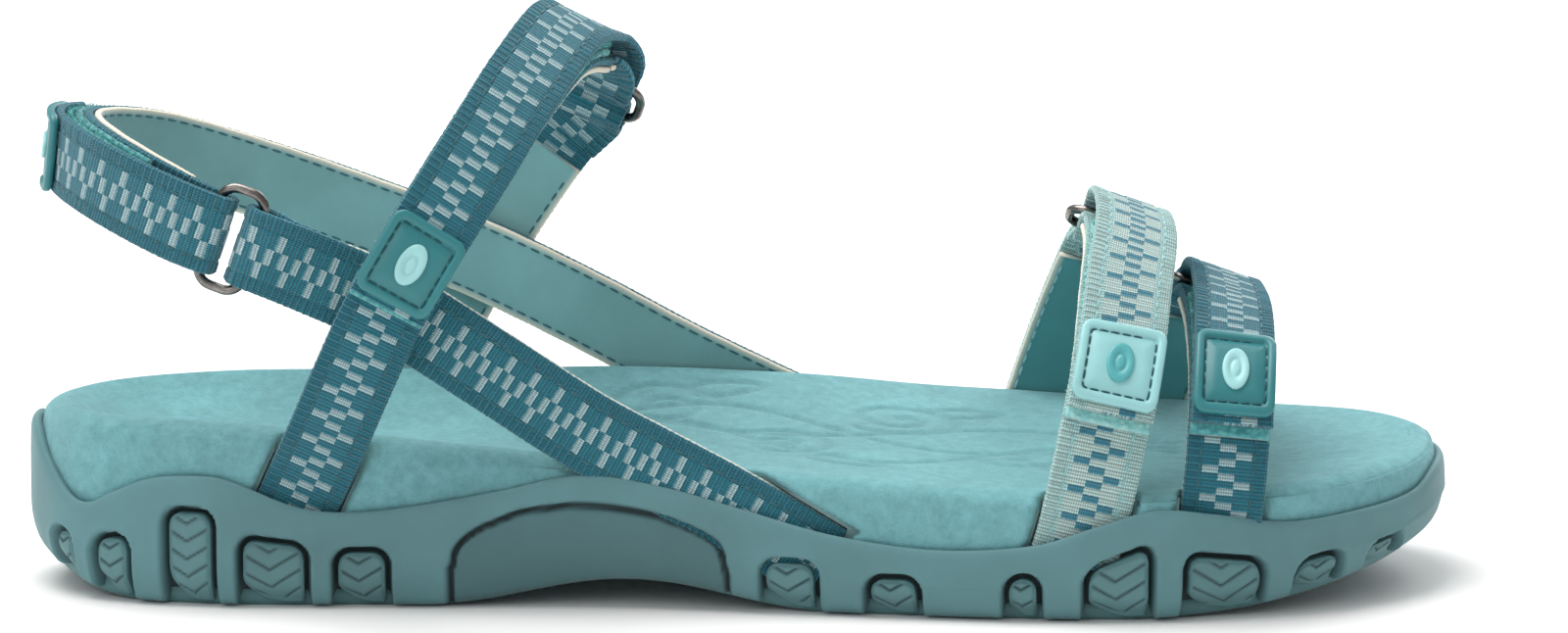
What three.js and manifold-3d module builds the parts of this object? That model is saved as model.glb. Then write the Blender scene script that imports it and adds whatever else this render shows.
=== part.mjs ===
// Strappy sport sandal for the right foot, in millimetres.
// +X points to the toe, -Y to the outer side of the foot, +Z up. The origin lies on the
// ground under the middle of the sole. Sole heights and strap routes are given at the
// pattern size and stretch with SOLE_LENGTH and SOLE_WIDTH.
import * as THREE from "three";
import { mergeVertices } from "three/addons/utils/BufferGeometryUtils.js";
import Module from "manifold-3d";

const wasm = await Module();
wasm.setup();

// ---- driving dimensions ----
const SOLE_LENGTH = 265;
const SOLE_WIDTH = 94;
const PATTERN_LENGTH = 265; // length and width at which the outline below was drawn
const PATTERN_WIDTH = 94;
const OUTSOLE_THICKNESS = 3.5;
const OUTSOLE_INSET = 4.5; // the rubber plate lies this far inside the midsole's edge
const RIM_WALL = 2.2; // midsole wall round the footbed
const COVER_THICKNESS = 1.2; // suede-covered skin of the footbed
const SHANK_THICKNESS = 1.2;
const SHANK_WIDTH = 24;
const WEBBING_THICKNESS = 1.5;
const LINING_THICKNESS = 1.2;
const PATCH_THICKNESS = 1.4; // hook-and-loop patches
const ANKLE_WIDTH = 15; // webbing widths
const HEEL_WIDTH = 15;
const FOREFOOT_WIDTH = 16;
const TOE_WIDTH = 15;
const RING_WIRE = 1.8;
const RING_GAP = 6.9; // short way across the ring's eye
const RING_CORNER = 3.2;
const RING_SIDE_PLAY = 1; // from the webbing's edge to the ring's end
const BADGE_LENGTH = 14.5;
const BADGE_THICKNESS = 1.6;
const EMBLEM_LENGTH = 7;
const EMBLEM_WIDTH = 5;
const EMBLEM_THICKNESS = 0.6;
const CLEARANCE = 0.3; // between faces that touch
const FOLD_CLEARANCE = 0.95; // between the ring's wire and the webbing round it
const POD_GAP = 1.2; // groove round each outsole pod
const POD_RECESS = 0.7; // the pods sit this far inside the midsole's side

const stretchX = SOLE_LENGTH / PATTERN_LENGTH;
const stretchY = SOLE_WIDTH / PATTERN_WIDTH;
const at = (x, y, z) => new THREE.Vector3(x * stretchX, y * stretchY, z);

// ---- solids ----

/** Mesh data of a BufferGeometry as a manifold solid, with flat triangles dropped. */
function solid(geometry, tolerance = 1e-4) {
  const bare = geometry.clone();
  bare.deleteAttribute("normal");
  bare.deleteAttribute("uv");
  const merged = mergeVertices(bare, tolerance);
  const index = Array.from(merged.index.array);
  const kept = [];
  for (let i = 0; i < index.length; i += 3) {
    const [a, b, c] = index.slice(i, i + 3);
    if (a !== b && b !== c && c !== a) kept.push(a, b, c);
  }
  const mesh = new wasm.Mesh({
    numProp: 3,
    vertProperties: Float32Array.from(merged.attributes.position.array),
    triVerts: Uint32Array.from(kept),
  });
  return new wasm.Manifold(mesh);
}

const CUT_TOLERANCE = 0.08; // slivers thinner than this are closed up after a cut
const MERGE_TOLERANCE = 0.01;

/** The largest of a body's pieces: a cut's loose crumbs are left out. */
function largestOf(body) {
  return body.decompose().reduce((best, piece) => (piece.volume() > best.volume() ? piece : best));
}

function bufferOf(body) {
  const mesh = body.getMesh();
  const geometry = new THREE.BufferGeometry();
  geometry.setAttribute("position", new THREE.BufferAttribute(mesh.vertProperties, 3));
  geometry.setIndex(new THREE.BufferAttribute(mesh.triVerts, 1));
  return geometry;
}

/** BufferGeometry of a manifold solid, as one clean closed surface. */
function geometryOf(body) {
  const clean = solid(bufferOf(largestOf(body.simplify(CUT_TOLERANCE))), MERGE_TOLERANCE);
  const geometry = bufferOf(largestOf(clean));
  geometry.computeVertexNormals();
  return geometry;
}

/**
 * Closed solid through a row of equal polygons. It has convex end caps, unless it is a
 * closed ring or pointed, with end polygons that are folded flat. With alike, both faces
 * of a twisted band are split along the same diagonal and stay parallel.
 */
function loft(sections, { closed = false, pointed = false, alike = false } = {}) {
  const count = sections[0].length;
  const positions = sections.flat().flatMap((point) => [point.x, point.y, point.z]);
  const index = [];
  const spans = closed ? sections.length : sections.length - 1;
  for (let i = 0; i < spans; i++) {
    const near = i * count;
    const far = ((i + 1) % sections.length) * count;
    for (let k = 0; k < count; k++) {
      const next = (k + 1) % count;
      if (alike && k >= count / 2) {
        index.push(near + k, near + next, far + k, near + next, far + next, far + k);
      } else {
        index.push(near + k, near + next, far + next, near + k, far + next, far + k);
      }
    }
  }
  if (!closed && !pointed) {
    const last = (sections.length - 1) * count;
    for (let k = 1; k < count - 1; k++) {
      index.push(0, k + 1, k, last, last + k, last + k + 1);
    }
  }
  if (signedVolume(positions, index) < 0) {
    for (let i = 0; i < index.length; i += 3) [index[i], index[i + 1]] = [index[i + 1], index[i]];
  }
  const geometry = new THREE.BufferGeometry();
  geometry.setAttribute("position", new THREE.Float32BufferAttribute(positions, 3));
  geometry.setIndex(index);
  return geometry;
}

function signedVolume(positions, index) {
  const corner = (i) => new THREE.Vector3().fromArray(positions, 3 * index[i]);
  let volume = 0;
  for (let i = 0; i < index.length; i += 3) {
    volume += corner(i).dot(corner(i + 1).cross(corner(i + 2))) / 6;
  }
  return volume;
}

/** Smooth curve z(x) through pairs, held level past both ends. */
function profile(pairs) {
  const slope = (i) => {
    const [a, b] = [Math.max(i - 1, 0), Math.min(i + 1, pairs.length - 1)];
    return (pairs[b][1] - pairs[a][1]) / (pairs[b][0] - pairs[a][0]);
  };
  return (x) => {
    if (x <= pairs[0][0]) return pairs[0][1];
    const i = pairs.findIndex((pair) => pair[0] >= x) - 1;
    if (i < 0) return pairs.at(-1)[1];
    const [[x0, z0], [x1, z1]] = [pairs[i], pairs[i + 1]];
    const span = x1 - x0;
    const u = (x - x0) / span;
    const [u2, u3] = [u * u, u * u * u];
    return (
      (2 * u3 - 3 * u2 + 1) * z0 + (u3 - 2 * u2 + u) * span * slope(i) +
      (3 * u2 - 2 * u3) * z1 + (u3 - u2) * span * slope(i + 1)
    );
  };
}

// ---- the sole's outline and heights, measured forward from the back of the heel ----

const OUTER_EDGE = [
  [0, 0], [2.5, -12], [12, -24.5], [35, -32.5], [70, -33.5], [105, -34], [145, -40], [180, -46],
  [205, -47], [230, -41], [250, -28], [261, -13],
];
const INNER_EDGE = [
  [265, 5], [263, 19], [255, 32], [240, 41], [215, 46.2], [190, 47], [160, 41], [130, 32],
  [100, 28.5], [70, 30], [35, 32], [12, 24], [2.5, 12],
];
const RIM_OUTER = profile([
  [0, 31], [3.5, 25], [8, 19.4], [12, 18.2], [17, 20.6], [24, 23.5], [30, 24.3], [38, 24],
  [52, 18.8], [62, 17.9], [74, 19.2], [90, 22.1], [104, 24.9], [118.5, 23], [132.5, 19.4],
  [148, 15.3], [162, 13.3], [173, 13], [187, 14.4], [196.5, 17.5], [208, 20.6], [219.5, 19.5],
  [233, 17.4], [247, 18], [258.5, 19.5], [265, 23],
]);
const ARCH_RISE = 5;
const SEAT = profile([
  [0, 20], [5, 16], [9, 15.2], [14, 15], [20, 16.8], [26, 20.3], [38, 20.3], [46, 16.2],
  [52, 15.2], [60, 14.5], [90, 15.5], [105, 17], [118, 16], [132, 13.5], [140, 12.3], [148, 10.6],
  [160, 9.7], [172, 9.3], [187, 10.5], [194, 12.3], [200, 13.9], [208, 16.4], [216, 15.4],
  [228, 14.3], [235, 13.3], [245, 13.5], [256, 14.9], [262, 17.4], [265, 18],
]);
const TOP_OUTER = profile([
  [0, 34], [25, 34], [50, 33], [80, 30], [105, 27.5], [145, 25.5], [180, 23.8], [215, 23.4],
  [240, 24.2], [258, 26], [265, 27.5],
]);
const TOP_INNER = profile([
  [0, 34], [25, 34.5], [50, 35], [80, 35.5], [110, 36], [140, 34], [170, 30], [200, 27.5],
  [230, 26.5], [258, 27], [265, 27.5],
]);
const DISH = profile([
  [0, 0], [7, 0], [18, 5], [40, 6.8], [80, 4.5], [120, 3], [160, 1.5], [200, 1], [240, 1],
  [258, 0], [265, 0],
]);
const FLAT_HEEL = [25, 75]; // flat lengths of the bottom
const FLAT_FOREFOOT = [150, 203];
const HEEL_RISE = 7;
const ARCH_LIFT = 5;
const TOE_SPRING = 11;

const patternX = (x) => x / stretchX + PATTERN_LENGTH / 2;

function groundAt(x) {
  const s = patternX(x);
  if (s < FLAT_HEEL[0]) return HEEL_RISE * (1 - s / FLAT_HEEL[0]) ** 2;
  if (s < FLAT_HEEL[1]) return 0;
  if (s < FLAT_FOREFOOT[0]) {
    const u = (s - FLAT_HEEL[1]) / (FLAT_FOREFOOT[0] - FLAT_HEEL[1]);
    return ARCH_LIFT * Math.sin(Math.PI * u) ** 2;
  }
  if (s < FLAT_FOREFOOT[1]) return 0;
  return TOE_SPRING * ((s - FLAT_FOREFOOT[1]) / (PATTERN_LENGTH - FLAT_FOREFOOT[1])) ** 2;
}

function rimAt(side, x) {
  const s = patternX(x);
  const arch = side > 0 ? ARCH_RISE * Math.exp(-(((s - 115) / 28) ** 2)) : 0;
  return RIM_OUTER(s) + arch;
}
const seatAt = (x) => SEAT(patternX(x));
const topAt = (side, x) => (side > 0 ? TOP_INNER : TOP_OUTER)(patternX(x));
const dishAt = (x) => DISH(patternX(x));

const outline = new THREE.CatmullRomCurve3(
  [...OUTER_EDGE, ...INNER_EDGE].map(([s, y]) => at(s - PATTERN_LENGTH / 2, y, 0)),
  true, "centripetal",
);
const STATIONS = 34;

/** Points from the heel to the toe along one side, each with its inward normal. */
function edgePoints(side) {
  const toe = OUTER_EDGE.length / (OUTER_EDGE.length + INNER_EDGE.length);
  const samples = 600;
  const rows = [];
  let run = 0;
  for (let i = 0; i <= samples; i++) {
    const u = side < 0 ? (toe * i) / samples : 1 - ((1 - toe) * i) / samples;
    const point = outline.getPoint(Math.min(Math.max(u, 0), 1) % 1);
    if (i > 0) run += point.distanceTo(rows[i - 1].point);
    const along = outline.getTangent(Math.min(Math.max(u, 1e-6), 1 - 1e-6));
    rows.push({ point, run, inward: new THREE.Vector3(-along.y, along.x, 0).normalize() });
  }
  const stations = [];
  for (let i = 0; i <= STATIONS; i++) {
    const even = i / STATIONS;
    const eased = (1 - Math.cos(Math.PI * even)) / 2;
    const target = run * (0.6 * even + 0.4 * eased);
    stations.push(rows.find((row) => row.run >= target - 1e-9) ?? rows.at(-1));
  }
  return stations;
}
const edges = { outer: edgePoints(-1), inner: edgePoints(1) };
for (const tip of [0, STATIONS]) edges.inner[tip] = edges.outer[tip];

/**
 * Solid that follows the outline. levels run from bottom to top, each with its inset and
 * its height(side, x); the caps sink by bottomDish(x) and topDish(x) in the middle.
 */
function soleSlab(levels, topDish = () => 0, bottomDish = () => 0, across = 4) {
  const sections = [];
  for (let i = 0; i <= STATIONS; i++) {
    const column = (edge, side) =>
      levels.map((level) => {
        const { point, inward } = edge[i];
        const place = point.clone().addScaledVector(inward, level.inset);
        return place.setZ(level.height(side, place.x));
      });
    const outer = column(edges.outer, -1);
    const inner = column(edges.inner, i % STATIONS === 0 ? -1 : 1); // the tips are one line
    const cap = (from, to, dish) => {
      const row = [];
      for (let k = 1; k < across; k++) {
        const u = k / across;
        const place = from.clone().lerp(to, u);
        place.z -= dish(place.x) * 4 * u * (1 - u);
        row.push(place);
      }
      return row;
    };
    sections.push([
      ...outer,
      ...cap(outer.at(-1), inner.at(-1), topDish),
      ...inner.toReversed(),
      ...cap(inner[0], outer[0], bottomDish),
    ]);
  }
  return solid(loft(sections, { pointed: true }));
}

const level = (inset, height) => ({ inset, height });
const ground = (extra) => (side, x) => groundAt(x) + extra;
const rim = (extra) => (side, x) => rimAt(side, x) + extra;
const seat = (extra) => (side, x) => seatAt(x) + extra;
const top = (extra) => (side, x) => topAt(side, x) + extra;

// ---- pods of the outsole, which show in the notches of the midsole's side ----
// from, to: where along the sole; rise and riseFront: height of the pod's top at both ends

const PODS = [
  [5, 9.3, 12.6, 12.6], [13.3, 20.6, 12.4, 12.8], [27, 36.6, 18.2, 18], [40.6, 53.7, 13.4, 12],
  [58.5, 68.9, 11, 11], [136.3, 146.8, 10.3, 10], [155.4, 165.4, 7.8, 7.8], [180.5, 187.3, 8.5, 8.7],
  [194.9, 207.8, 10, 14.4], [213.7, 228.8, 12.6, 11], [234.6, 243.7, 10, 11.2],
  [248.3, 255.5, 11, 12.4],
].map(([from, to, rise, riseFront]) => ({ from, to, rise, riseFront }));
const POD_DEPTH = OUTSOLE_INSET + 1.6;
const POD_CORNER = 2.2;
const POD_FOOT = 0.5; // the pods stop this far above the lowest ground

/** One pod as a prism on the outline's side, grown by a margin to make its notch. */
function podSolid(pod, side, margin, foot, front, back) {
  const edge = side < 0 ? edges.outer : edges.inner;
  const centre = (pod.from + pod.to) / 2 - PATTERN_LENGTH / 2;
  const near = edge.findLast((row) => row.point.x <= centre * stretchX);
  const next = edge[edge.indexOf(near) + 1];
  const u = (centre * stretchX - near.point.x) / (next.point.x - near.point.x);
  const point = near.point.clone().lerp(next.point, u);
  const inward = near.inward.clone().lerp(next.inward, u).normalize();
  const along = new THREE.Vector3(inward.y, -inward.x, 0).multiplyScalar(-side);
  const half = ((pod.to - pod.from) * stretchX) / 2 / Math.max(Math.abs(along.x), 0.35);
  const [left, right] = [-half - margin, half + margin];
  const low = groundAt(point.x) + POD_FOOT - foot;
  const corner = Math.min(POD_CORNER, half);
  const shape = new THREE.Shape();
  shape.moveTo(left, low);
  shape.lineTo(right, low);
  shape.lineTo(right, pod.riseFront + margin - corner);
  shape.quadraticCurveTo(right, pod.riseFront + margin, right - corner, pod.riseFront + margin);
  shape.lineTo(left + corner, pod.rise + margin);
  shape.quadraticCurveTo(left, pod.rise + margin, left, pod.rise + margin - corner);
  const prism = new THREE.ExtrudeGeometry(shape, {
    depth: back - front, bevelEnabled: false, curveSegments: 2,
  });
  const start = point.clone().addScaledVector(inward, front);
  const up = new THREE.Vector3(0, 0, 1);
  const frame = new THREE.Matrix4().makeBasis(along, up, inward).setPosition(start);
  const turned = frame.determinant() < 0;
  prism.applyMatrix4(frame);
  if (!turned) return solid(prism);
  const place = prism.attributes.position;
  for (let i = 0; i < place.count; i += 3) {
    const held = new THREE.Vector3().fromBufferAttribute(place, i);
    place.setXYZ(i, place.getX(i + 1), place.getY(i + 1), place.getZ(i + 1));
    place.setXYZ(i + 1, held.x, held.y, held.z);
  }
  return solid(prism);
}

// ---- straps ----

const STRAP_STEP = 6; // all layers of a strap bend at the same places, this far apart

/** Route of a strap: a smooth line through points, with the outward way at each of them. */
function route(points, normals) {
  const line = new THREE.CatmullRomCurve3(points, false, "centripetal");
  const ways = new THREE.CatmullRomCurve3(normals, false, "centripetal");
  const samples = 400;
  const fine = [];
  let length = 0;
  for (let i = 0; i <= samples; i++) {
    const point = line.getPoint(i / samples);
    if (i > 0) length += point.distanceTo(fine[i - 1].point);
    fine.push({ point, run: length, u: i / samples });
  }
  const spans = Math.ceil(length / STRAP_STEP);
  const rows = [];
  for (let i = 0; i <= spans; i++) {
    const run = (length * i) / spans;
    const { point, u } = fine.find((row) => row.run >= run - 1e-9);
    const along = line.getTangent(u);
    const normal = ways.getPoint(u);
    normal.addScaledVector(along, -normal.dot(along)).normalize();
    rows.push({ point, run, normal, across: along.clone().cross(normal) });
  }
  const frameAt = (distance, offset = 0) => {
    const k = Math.min(Math.max(Math.ceil((distance * spans) / length - 1e-9), 1), spans);
    const [a, b] = [rows[k - 1], rows[k]];
    const u = (distance - a.run) / (b.run - a.run);
    const lifted = (row) => row.point.clone().addScaledVector(row.normal, offset);
    return {
      point: lifted(a).lerp(lifted(b), u),
      normal: a.normal.clone().lerp(b.normal, u).normalize(),
      across: a.across.clone().lerp(b.across, u).normalize(),
    };
  };
  return { length, rows, frameAt };
}

/** Frames along a route between two distances, lifted off it by an offset. */
function stretchOf(path, low, high, offset = 0, step = Infinity) {
  const stops = path.rows.map((row) => row.run).filter((run) => run > low + 0.2 && run < high - 0.2);
  for (let run = low + step; run < high - step / 2; run += step) stops.push(run);
  stops.sort((a, b) => a - b);
  return [low, ...stops, high].map((distance) => path.frameAt(distance, offset));
}

/**
 * Band of a width and thickness along frames. The width may be a function of the length
 * so far. grow, outward and inward make it larger, into the slot that a strap needs.
 */
function band(frames, width, thickness, grow = 0, outward = 0, inward = 0) {
  const runs = [0];
  frames.slice(1).forEach((frame, i) => runs.push(runs[i] + frame.point.distanceTo(frames[i].point)));
  const sections = frames.map(({ point, normal, across }, i) => {
    const half = (typeof width === "function" ? width(runs[i]) : width) / 2 + grow;
    const corner = (side, face) => {
      const lift = face > 0 ? thickness / 2 + outward : -thickness / 2 - inward;
      return point.clone().addScaledVector(across, side * half).addScaledVector(normal, lift);
    };
    return [corner(-1, -1), corner(1, -1), corner(1, 1), corner(-1, 1)];
  });
  return solid(loft(sections, { alike: true }));
}

// the fold clears the wire, and leaves room for both patches between its two legs
const FOLD_RADIUS = Math.max(
  RING_WIRE / 2 + FOLD_CLEARANCE + WEBBING_THICKNESS / 2,
  WEBBING_THICKNESS / 2 + PATCH_THICKNESS + 1.5 * CLEARANCE,
);
const BAR_OFFSET = (RING_GAP + RING_WIRE) / 2; // from the ring's middle to each bar's axis
const TAB_OFFSET = 2 * FOLD_RADIUS;
const LINING_OFFSET = -(WEBBING_THICKNESS / 2 + CLEARANCE + LINING_THICKNESS / 2);
const LOOP_OFFSET = WEBBING_THICKNESS / 2 + CLEARANCE + PATCH_THICKNESS / 2;
const HOOK_OFFSET = TAB_OFFSET - LOOP_OFFSET;
const BADGE_OFFSET = TAB_OFFSET + WEBBING_THICKNESS / 2 + CLEARANCE + BADGE_THICKNESS / 2;
const EMBLEM_OFFSET = BADGE_OFFSET + BADGE_THICKNESS / 2 + CLEARANCE + EMBLEM_THICKNESS / 2;
const LEAD = 4; // straight run before each bar
const BAR_STOP = 7.5; // the fixed strap stops short of the swinging fold
const PATCH_STOP = 7; // the patches end at least this far before that
const TAIL = 11; // webbing turned back round the keeper bar
const TAIL_MERGE = 7;
const ROOT_LENGTH = 66 * Math.max(stretchX, stretchY, 1); // length of strap that can touch the sole
const LINING_STOP = 5; // lining ends this far before the turned-back tail

/** The ring's frame: its centre, the way the free strap arrives and the outward way. */
function ringFrame(centre, arrival, outward) {
  const along = arrival.clone().normalize();
  const normal = outward.clone().addScaledVector(along, -outward.dot(along)).normalize();
  return {
    centre, along, normal,
    across: along.clone().cross(normal),
    freeBar: centre.clone().addScaledVector(along, -BAR_OFFSET),
    keeperBar: centre.clone().addScaledVector(along, BAR_OFFSET),
  };
}

/** Frames of a half turn round a bar, from the inner face outwards. */
function halfTurn(ring, bar, sign) {
  const frames = [];
  const steps = 8;
  for (let i = 0; i <= steps; i++) {
    const angle = (Math.PI * i) / steps;
    const radial = ring.normal.clone().multiplyScalar(-Math.cos(angle));
    radial.addScaledVector(ring.along, sign * Math.sin(angle));
    frames.push({
      point: bar.clone().addScaledVector(radial, FOLD_RADIUS), normal: radial, across: ring.across,
    });
  }
  return frames;
}

/** Route of the strap that folds back over the free bar. */
function freeRoute(ring, points, normals) {
  const end = ring.freeBar.clone().addScaledVector(ring.normal, -FOLD_RADIUS);
  const lead = end.clone().addScaledVector(ring.along, -LEAD);
  return route([...points, lead, end], [...normals, ring.normal, ring.normal]);
}

/** Route of the strap that is sewn round the keeper bar. */
function keeperRoute(ring, points, normals) {
  const end = ring.keeperBar.clone().addScaledVector(ring.normal, FOLD_RADIUS);
  const lead = end.clone().addScaledVector(ring.along, LEAD);
  return route([...points, lead, end], [...normals, ring.normal, ring.normal]);
}

/** Frames of a whole keeper strap: up to the bar, round it and back under itself. */
function keeperFrames(ring, path) {
  const frames = stretchOf(path, 0, path.length);
  const turn = halfTurn(ring, ring.keeperBar, -1).toReversed().slice(1);
  const settled = -(WEBBING_THICKNESS + CLEARANCE);
  for (const frame of turn) frame.across = ring.across.clone().negate();
  const tail = [];
  const steps = 5;
  for (let i = 1; i <= steps; i++) {
    const run = (TAIL * i) / steps;
    const merge = Math.min(run / TAIL_MERGE, 1);
    const eased = merge * merge * (3 - 2 * merge);
    const frame = path.frameAt(path.length - run, -TAB_OFFSET + (TAB_OFFSET + settled) * eased);
    tail.push({ ...frame, normal: frame.normal.clone().negate() });
  }
  return [...frames, ...turn, ...tail];
}

/** Oval wire ring with straight bars along the webbing's width. */
function ringSolid(ring, width) {
  const wire = RING_WIRE / 2;
  const straight = width / 2 + RING_SIDE_PLAY + wire - RING_CORNER;
  const sides = 8;
  const arcSteps = 4;
  const places = [];
  for (let corner = 0; corner < 4; corner++) {
    const [farSide, farBar] = [[1, 1], [1, -1], [-1, -1], [-1, 1]][corner];
    const hub = ring.centre.clone().addScaledVector(ring.across, farSide * straight);
    hub.addScaledVector(ring.along, farBar * (BAR_OFFSET - RING_CORNER));
    for (let i = 0; i <= arcSteps; i++) {
      const angle = (Math.PI / 2) * (corner + i / arcSteps);
      const reach = ring.across.clone().multiplyScalar(Math.sin(angle));
      reach.addScaledVector(ring.along, Math.cos(angle));
      places.push({ point: hub.clone().addScaledVector(reach, RING_CORNER), reach });
    }
  }
  const sections = places.map(({ point, reach }) => {
    const section = [];
    for (let k = 0; k < sides; k++) {
      const angle = (2 * Math.PI * k) / sides;
      section.push(
        point.clone().addScaledVector(reach, wire * Math.cos(angle))
          .addScaledVector(ring.normal, wire * Math.sin(angle)),
      );
    }
    return section;
  });
  return solid(loft(sections, { closed: true }));
}

const side = (sign) => new THREE.Vector3(0, sign, 0);
const way = (x, y, z) => new THREE.Vector3(x, y, z);

// Each closure: its ring, the free strap that folds back over the ring with a pull tab,
// and the keeper strap sewn round the ring's other bar.
const CLOSURES = [
  {
    name: "ankle", width: ANKLE_WIDTH, tab: 88, freeName: "lateral", keeperName: "medial",
    ring: ringFrame(at(-27.5, 19.5, 89.5), way(-0.22, 0.7, -0.68), way(0.387, 0.649, 0.655)),
    free: [
      [[-86, -29.4, 7], side(-1)], [[-80.6, -29.6, 19.5], side(-1)],
      [[-75.5, -32.4, 30.5], way(0, -1, -0.1)], [[-70.5, -35, 42], way(0, -1, -0.05)],
      [[-64.5, -36, 55], way(0, -1, 0.03)], [[-58, -35, 66.5], way(0.08, -1, 0.15)],
      [[-49.5, -29.5, 80], way(0.3, -0.85, 0.45)], [[-40.5, -18, 93], way(0.42, -0.45, 0.75)],
      [[-33.5, -3, 100], way(0.5, 0, 0.86)], [[-29.5, 7.6, 97.8], way(0.45, 0.4, 0.78)],
    ],
    keeper: [
      [[-73, 27, 7], side(1)], [[-68, 27.3, 19.5], side(1)], [[-62.5, 30.8, 32], way(0, 1, -0.1)],
      [[-56.5, 34.6, 44], way(0, 1, 0)], [[-50, 35.6, 55.5], way(0.05, 1, 0.05)],
      [[-42.5, 34, 67.5], way(0.15, 1, 0.2)], [[-34.5, 30, 79], way(0.28, 0.8, 0.45)],
    ],
  },
  {
    name: "heel", width: HEEL_WIDTH, tab: 48, freeName: "medial", keeperName: "lateral",
    ring: ringFrame(at(-92.2, -30, 68), way(0.93, -0.16, -0.33), way(-0.17, -0.985, 0)),
    free: [
      [[34, 40.2, 13], side(1)], [[20, 36.4, 20], side(1)], [[5, 31.4, 27.8], side(1)],
      [[-11.7, 28.2, 36.5], side(1)], [[-28, 29.9, 45], side(1)],
      [[-50, 31.5, 55.5], way(-0.02, 1, 0)], [[-72, 30.2, 64.2], way(-0.1, 1, 0)],
      [[-92, 25.4, 71.8], way(-0.35, 1, 0)], [[-110, 16, 78.3], way(-0.8, 0.75, 0.05)],
      [[-121, -1.5, 81], way(-1, 0, 0.12)], [[-116.2, -17, 79], way(-0.82, -0.7, 0.05)],
    ],
    keeper: [
      [[16, -37, 9], side(-1)], [[-2, -34.9, 19.4], side(-1)], [[-16, -33, 26.6], side(-1)],
      [[-28, -32.2, 33], side(-1)], [[-45, -31.8, 44], side(-1)],
      [[-62.7, -31.7, 55.2], side(-1)], [[-77, -32.4, 61.8], side(-1)],
    ],
  },
  {
    name: "forefoot", width: FOREFOOT_WIDTH, tab: 61, freeName: "lateral", keeperName: "medial",
    ring: ringFrame(at(71.6, 14.5, 63.4), way(-0.06, 0.9, -0.43), way(0.3, 0.43, 0.87)),
    free: [
      [[59.5, -43.1, 7], side(-1)], [[62.6, -43.4, 18], side(-1)],
      [[65.5, -42, 31], way(0.03, -1, 0.15)], [[68.3, -35, 43.5], way(0.1, -0.85, 0.45)],
      [[70.3, -22, 55.5], way(0.22, -0.55, 0.75)], [[71.7, -7, 62.7], way(0.34, -0.2, 0.9)],
    ],
    keeper: [
      [[53.5, 43.3, 8], side(1)], [[57, 43.5, 20], side(1)], [[61.5, 42.5, 34], way(0.03, 1, 0.1)],
      [[66.5, 36.5, 49], way(0.12, 0.85, 0.45)], [[70, 28.5, 58.7], way(0.2, 0.65, 0.65)],
    ],
  },
  {
    name: "toe", width: TOE_WIDTH, tab: 53, freeName: "lateral", keeperName: "medial",
    ring: ringFrame(at(89.2, 14, 51.4), way(-0.05, 0.95, -0.3), way(0.3, 0.3, 0.92)),
    free: [
      [[86.3, -40.5, 9], side(-1)], [[87.7, -40.7, 19.5], side(-1)],
      [[88.9, -38.6, 32], way(0.03, -1, 0.2)], [[89.6, -31.2, 41.8], way(0.1, -0.7, 0.7)],
      [[89.8, -17.5, 48.3], way(0.22, -0.35, 0.9)], [[89.6, -3, 50.6], way(0.3, -0.05, 0.95)],
    ],
    keeper: [
      [[75, 42.6, 10], side(1)], [[77, 42.8, 19.5], side(1)], [[80.5, 41, 32], way(0.03, 1, 0.2)],
      [[84.5, 34.5, 42], way(0.1, 0.75, 0.65)], [[87.6, 26.5, 48.8], way(0.2, 0.5, 0.83)],
    ],
  },
];

const colours = {
  rubber: [0x5c8489, 0.8, 0], suede: [0x86bcc0, 0.95, 0], foam: [0x7c9a9c, 0.9, 0],
  plastic: [0x2c3030, 0.5, 0], webbing: [0x2f7a8c, 0.85, 0], aqua: [0xb4dde0, 0.85, 0],
  lining: [0x4f8e92, 0.95, 0], patch: [0x9fd0d2, 0.95, 0], metal: [0x4a4a4a, 0.3, 0.9],
  badge: [0x4a8f92, 0.45, 0], emblem: [0xa8d8d4, 0.45, 0],
};
const sandal = new THREE.Group();

function add(name, body, finish) {
  const [color, roughness, metalness] = colours[finish];
  const material = new THREE.MeshStandardMaterial({ color, roughness, metalness });
  const mesh = new THREE.Mesh(geometryOf(body), material);
  mesh.name = name;
  sandal.add(mesh);
}

// ---- strap pieces ----

const belowSeat = soleSlab([level(-6, ground(-20)), level(-6, seat(CLEARANCE))]);
const footbedCutters = [];
const rimCutters = [];

/** Trims a strap where it meets the seat, and keeps the slots that its ends need. */
function anchored(name, path, frames, width, finish, lining) {
  add(`${name}_strap`, band(frames, width, WEBBING_THICKNESS).subtract(belowSeat), finish);
  const under = stretchOf(path, 0, path.length - lining, LINING_OFFSET);
  const liningWidth = width - 1;
  add(`${name}_lining`, band(under, liningWidth, LINING_THICKNESS).subtract(belowSeat), "lining");
  const root = stretchOf(path, 0, Math.min(ROOT_LENGTH, path.length));
  const depth = CLEARANCE + LINING_THICKNESS + CLEARANCE;
  footbedCutters.push(band(root, width, WEBBING_THICKNESS, CLEARANCE, 4, depth));
  rimCutters.push(band(root, width, WEBBING_THICKNESS, CLEARANCE, CLEARANCE, depth));
}

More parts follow.
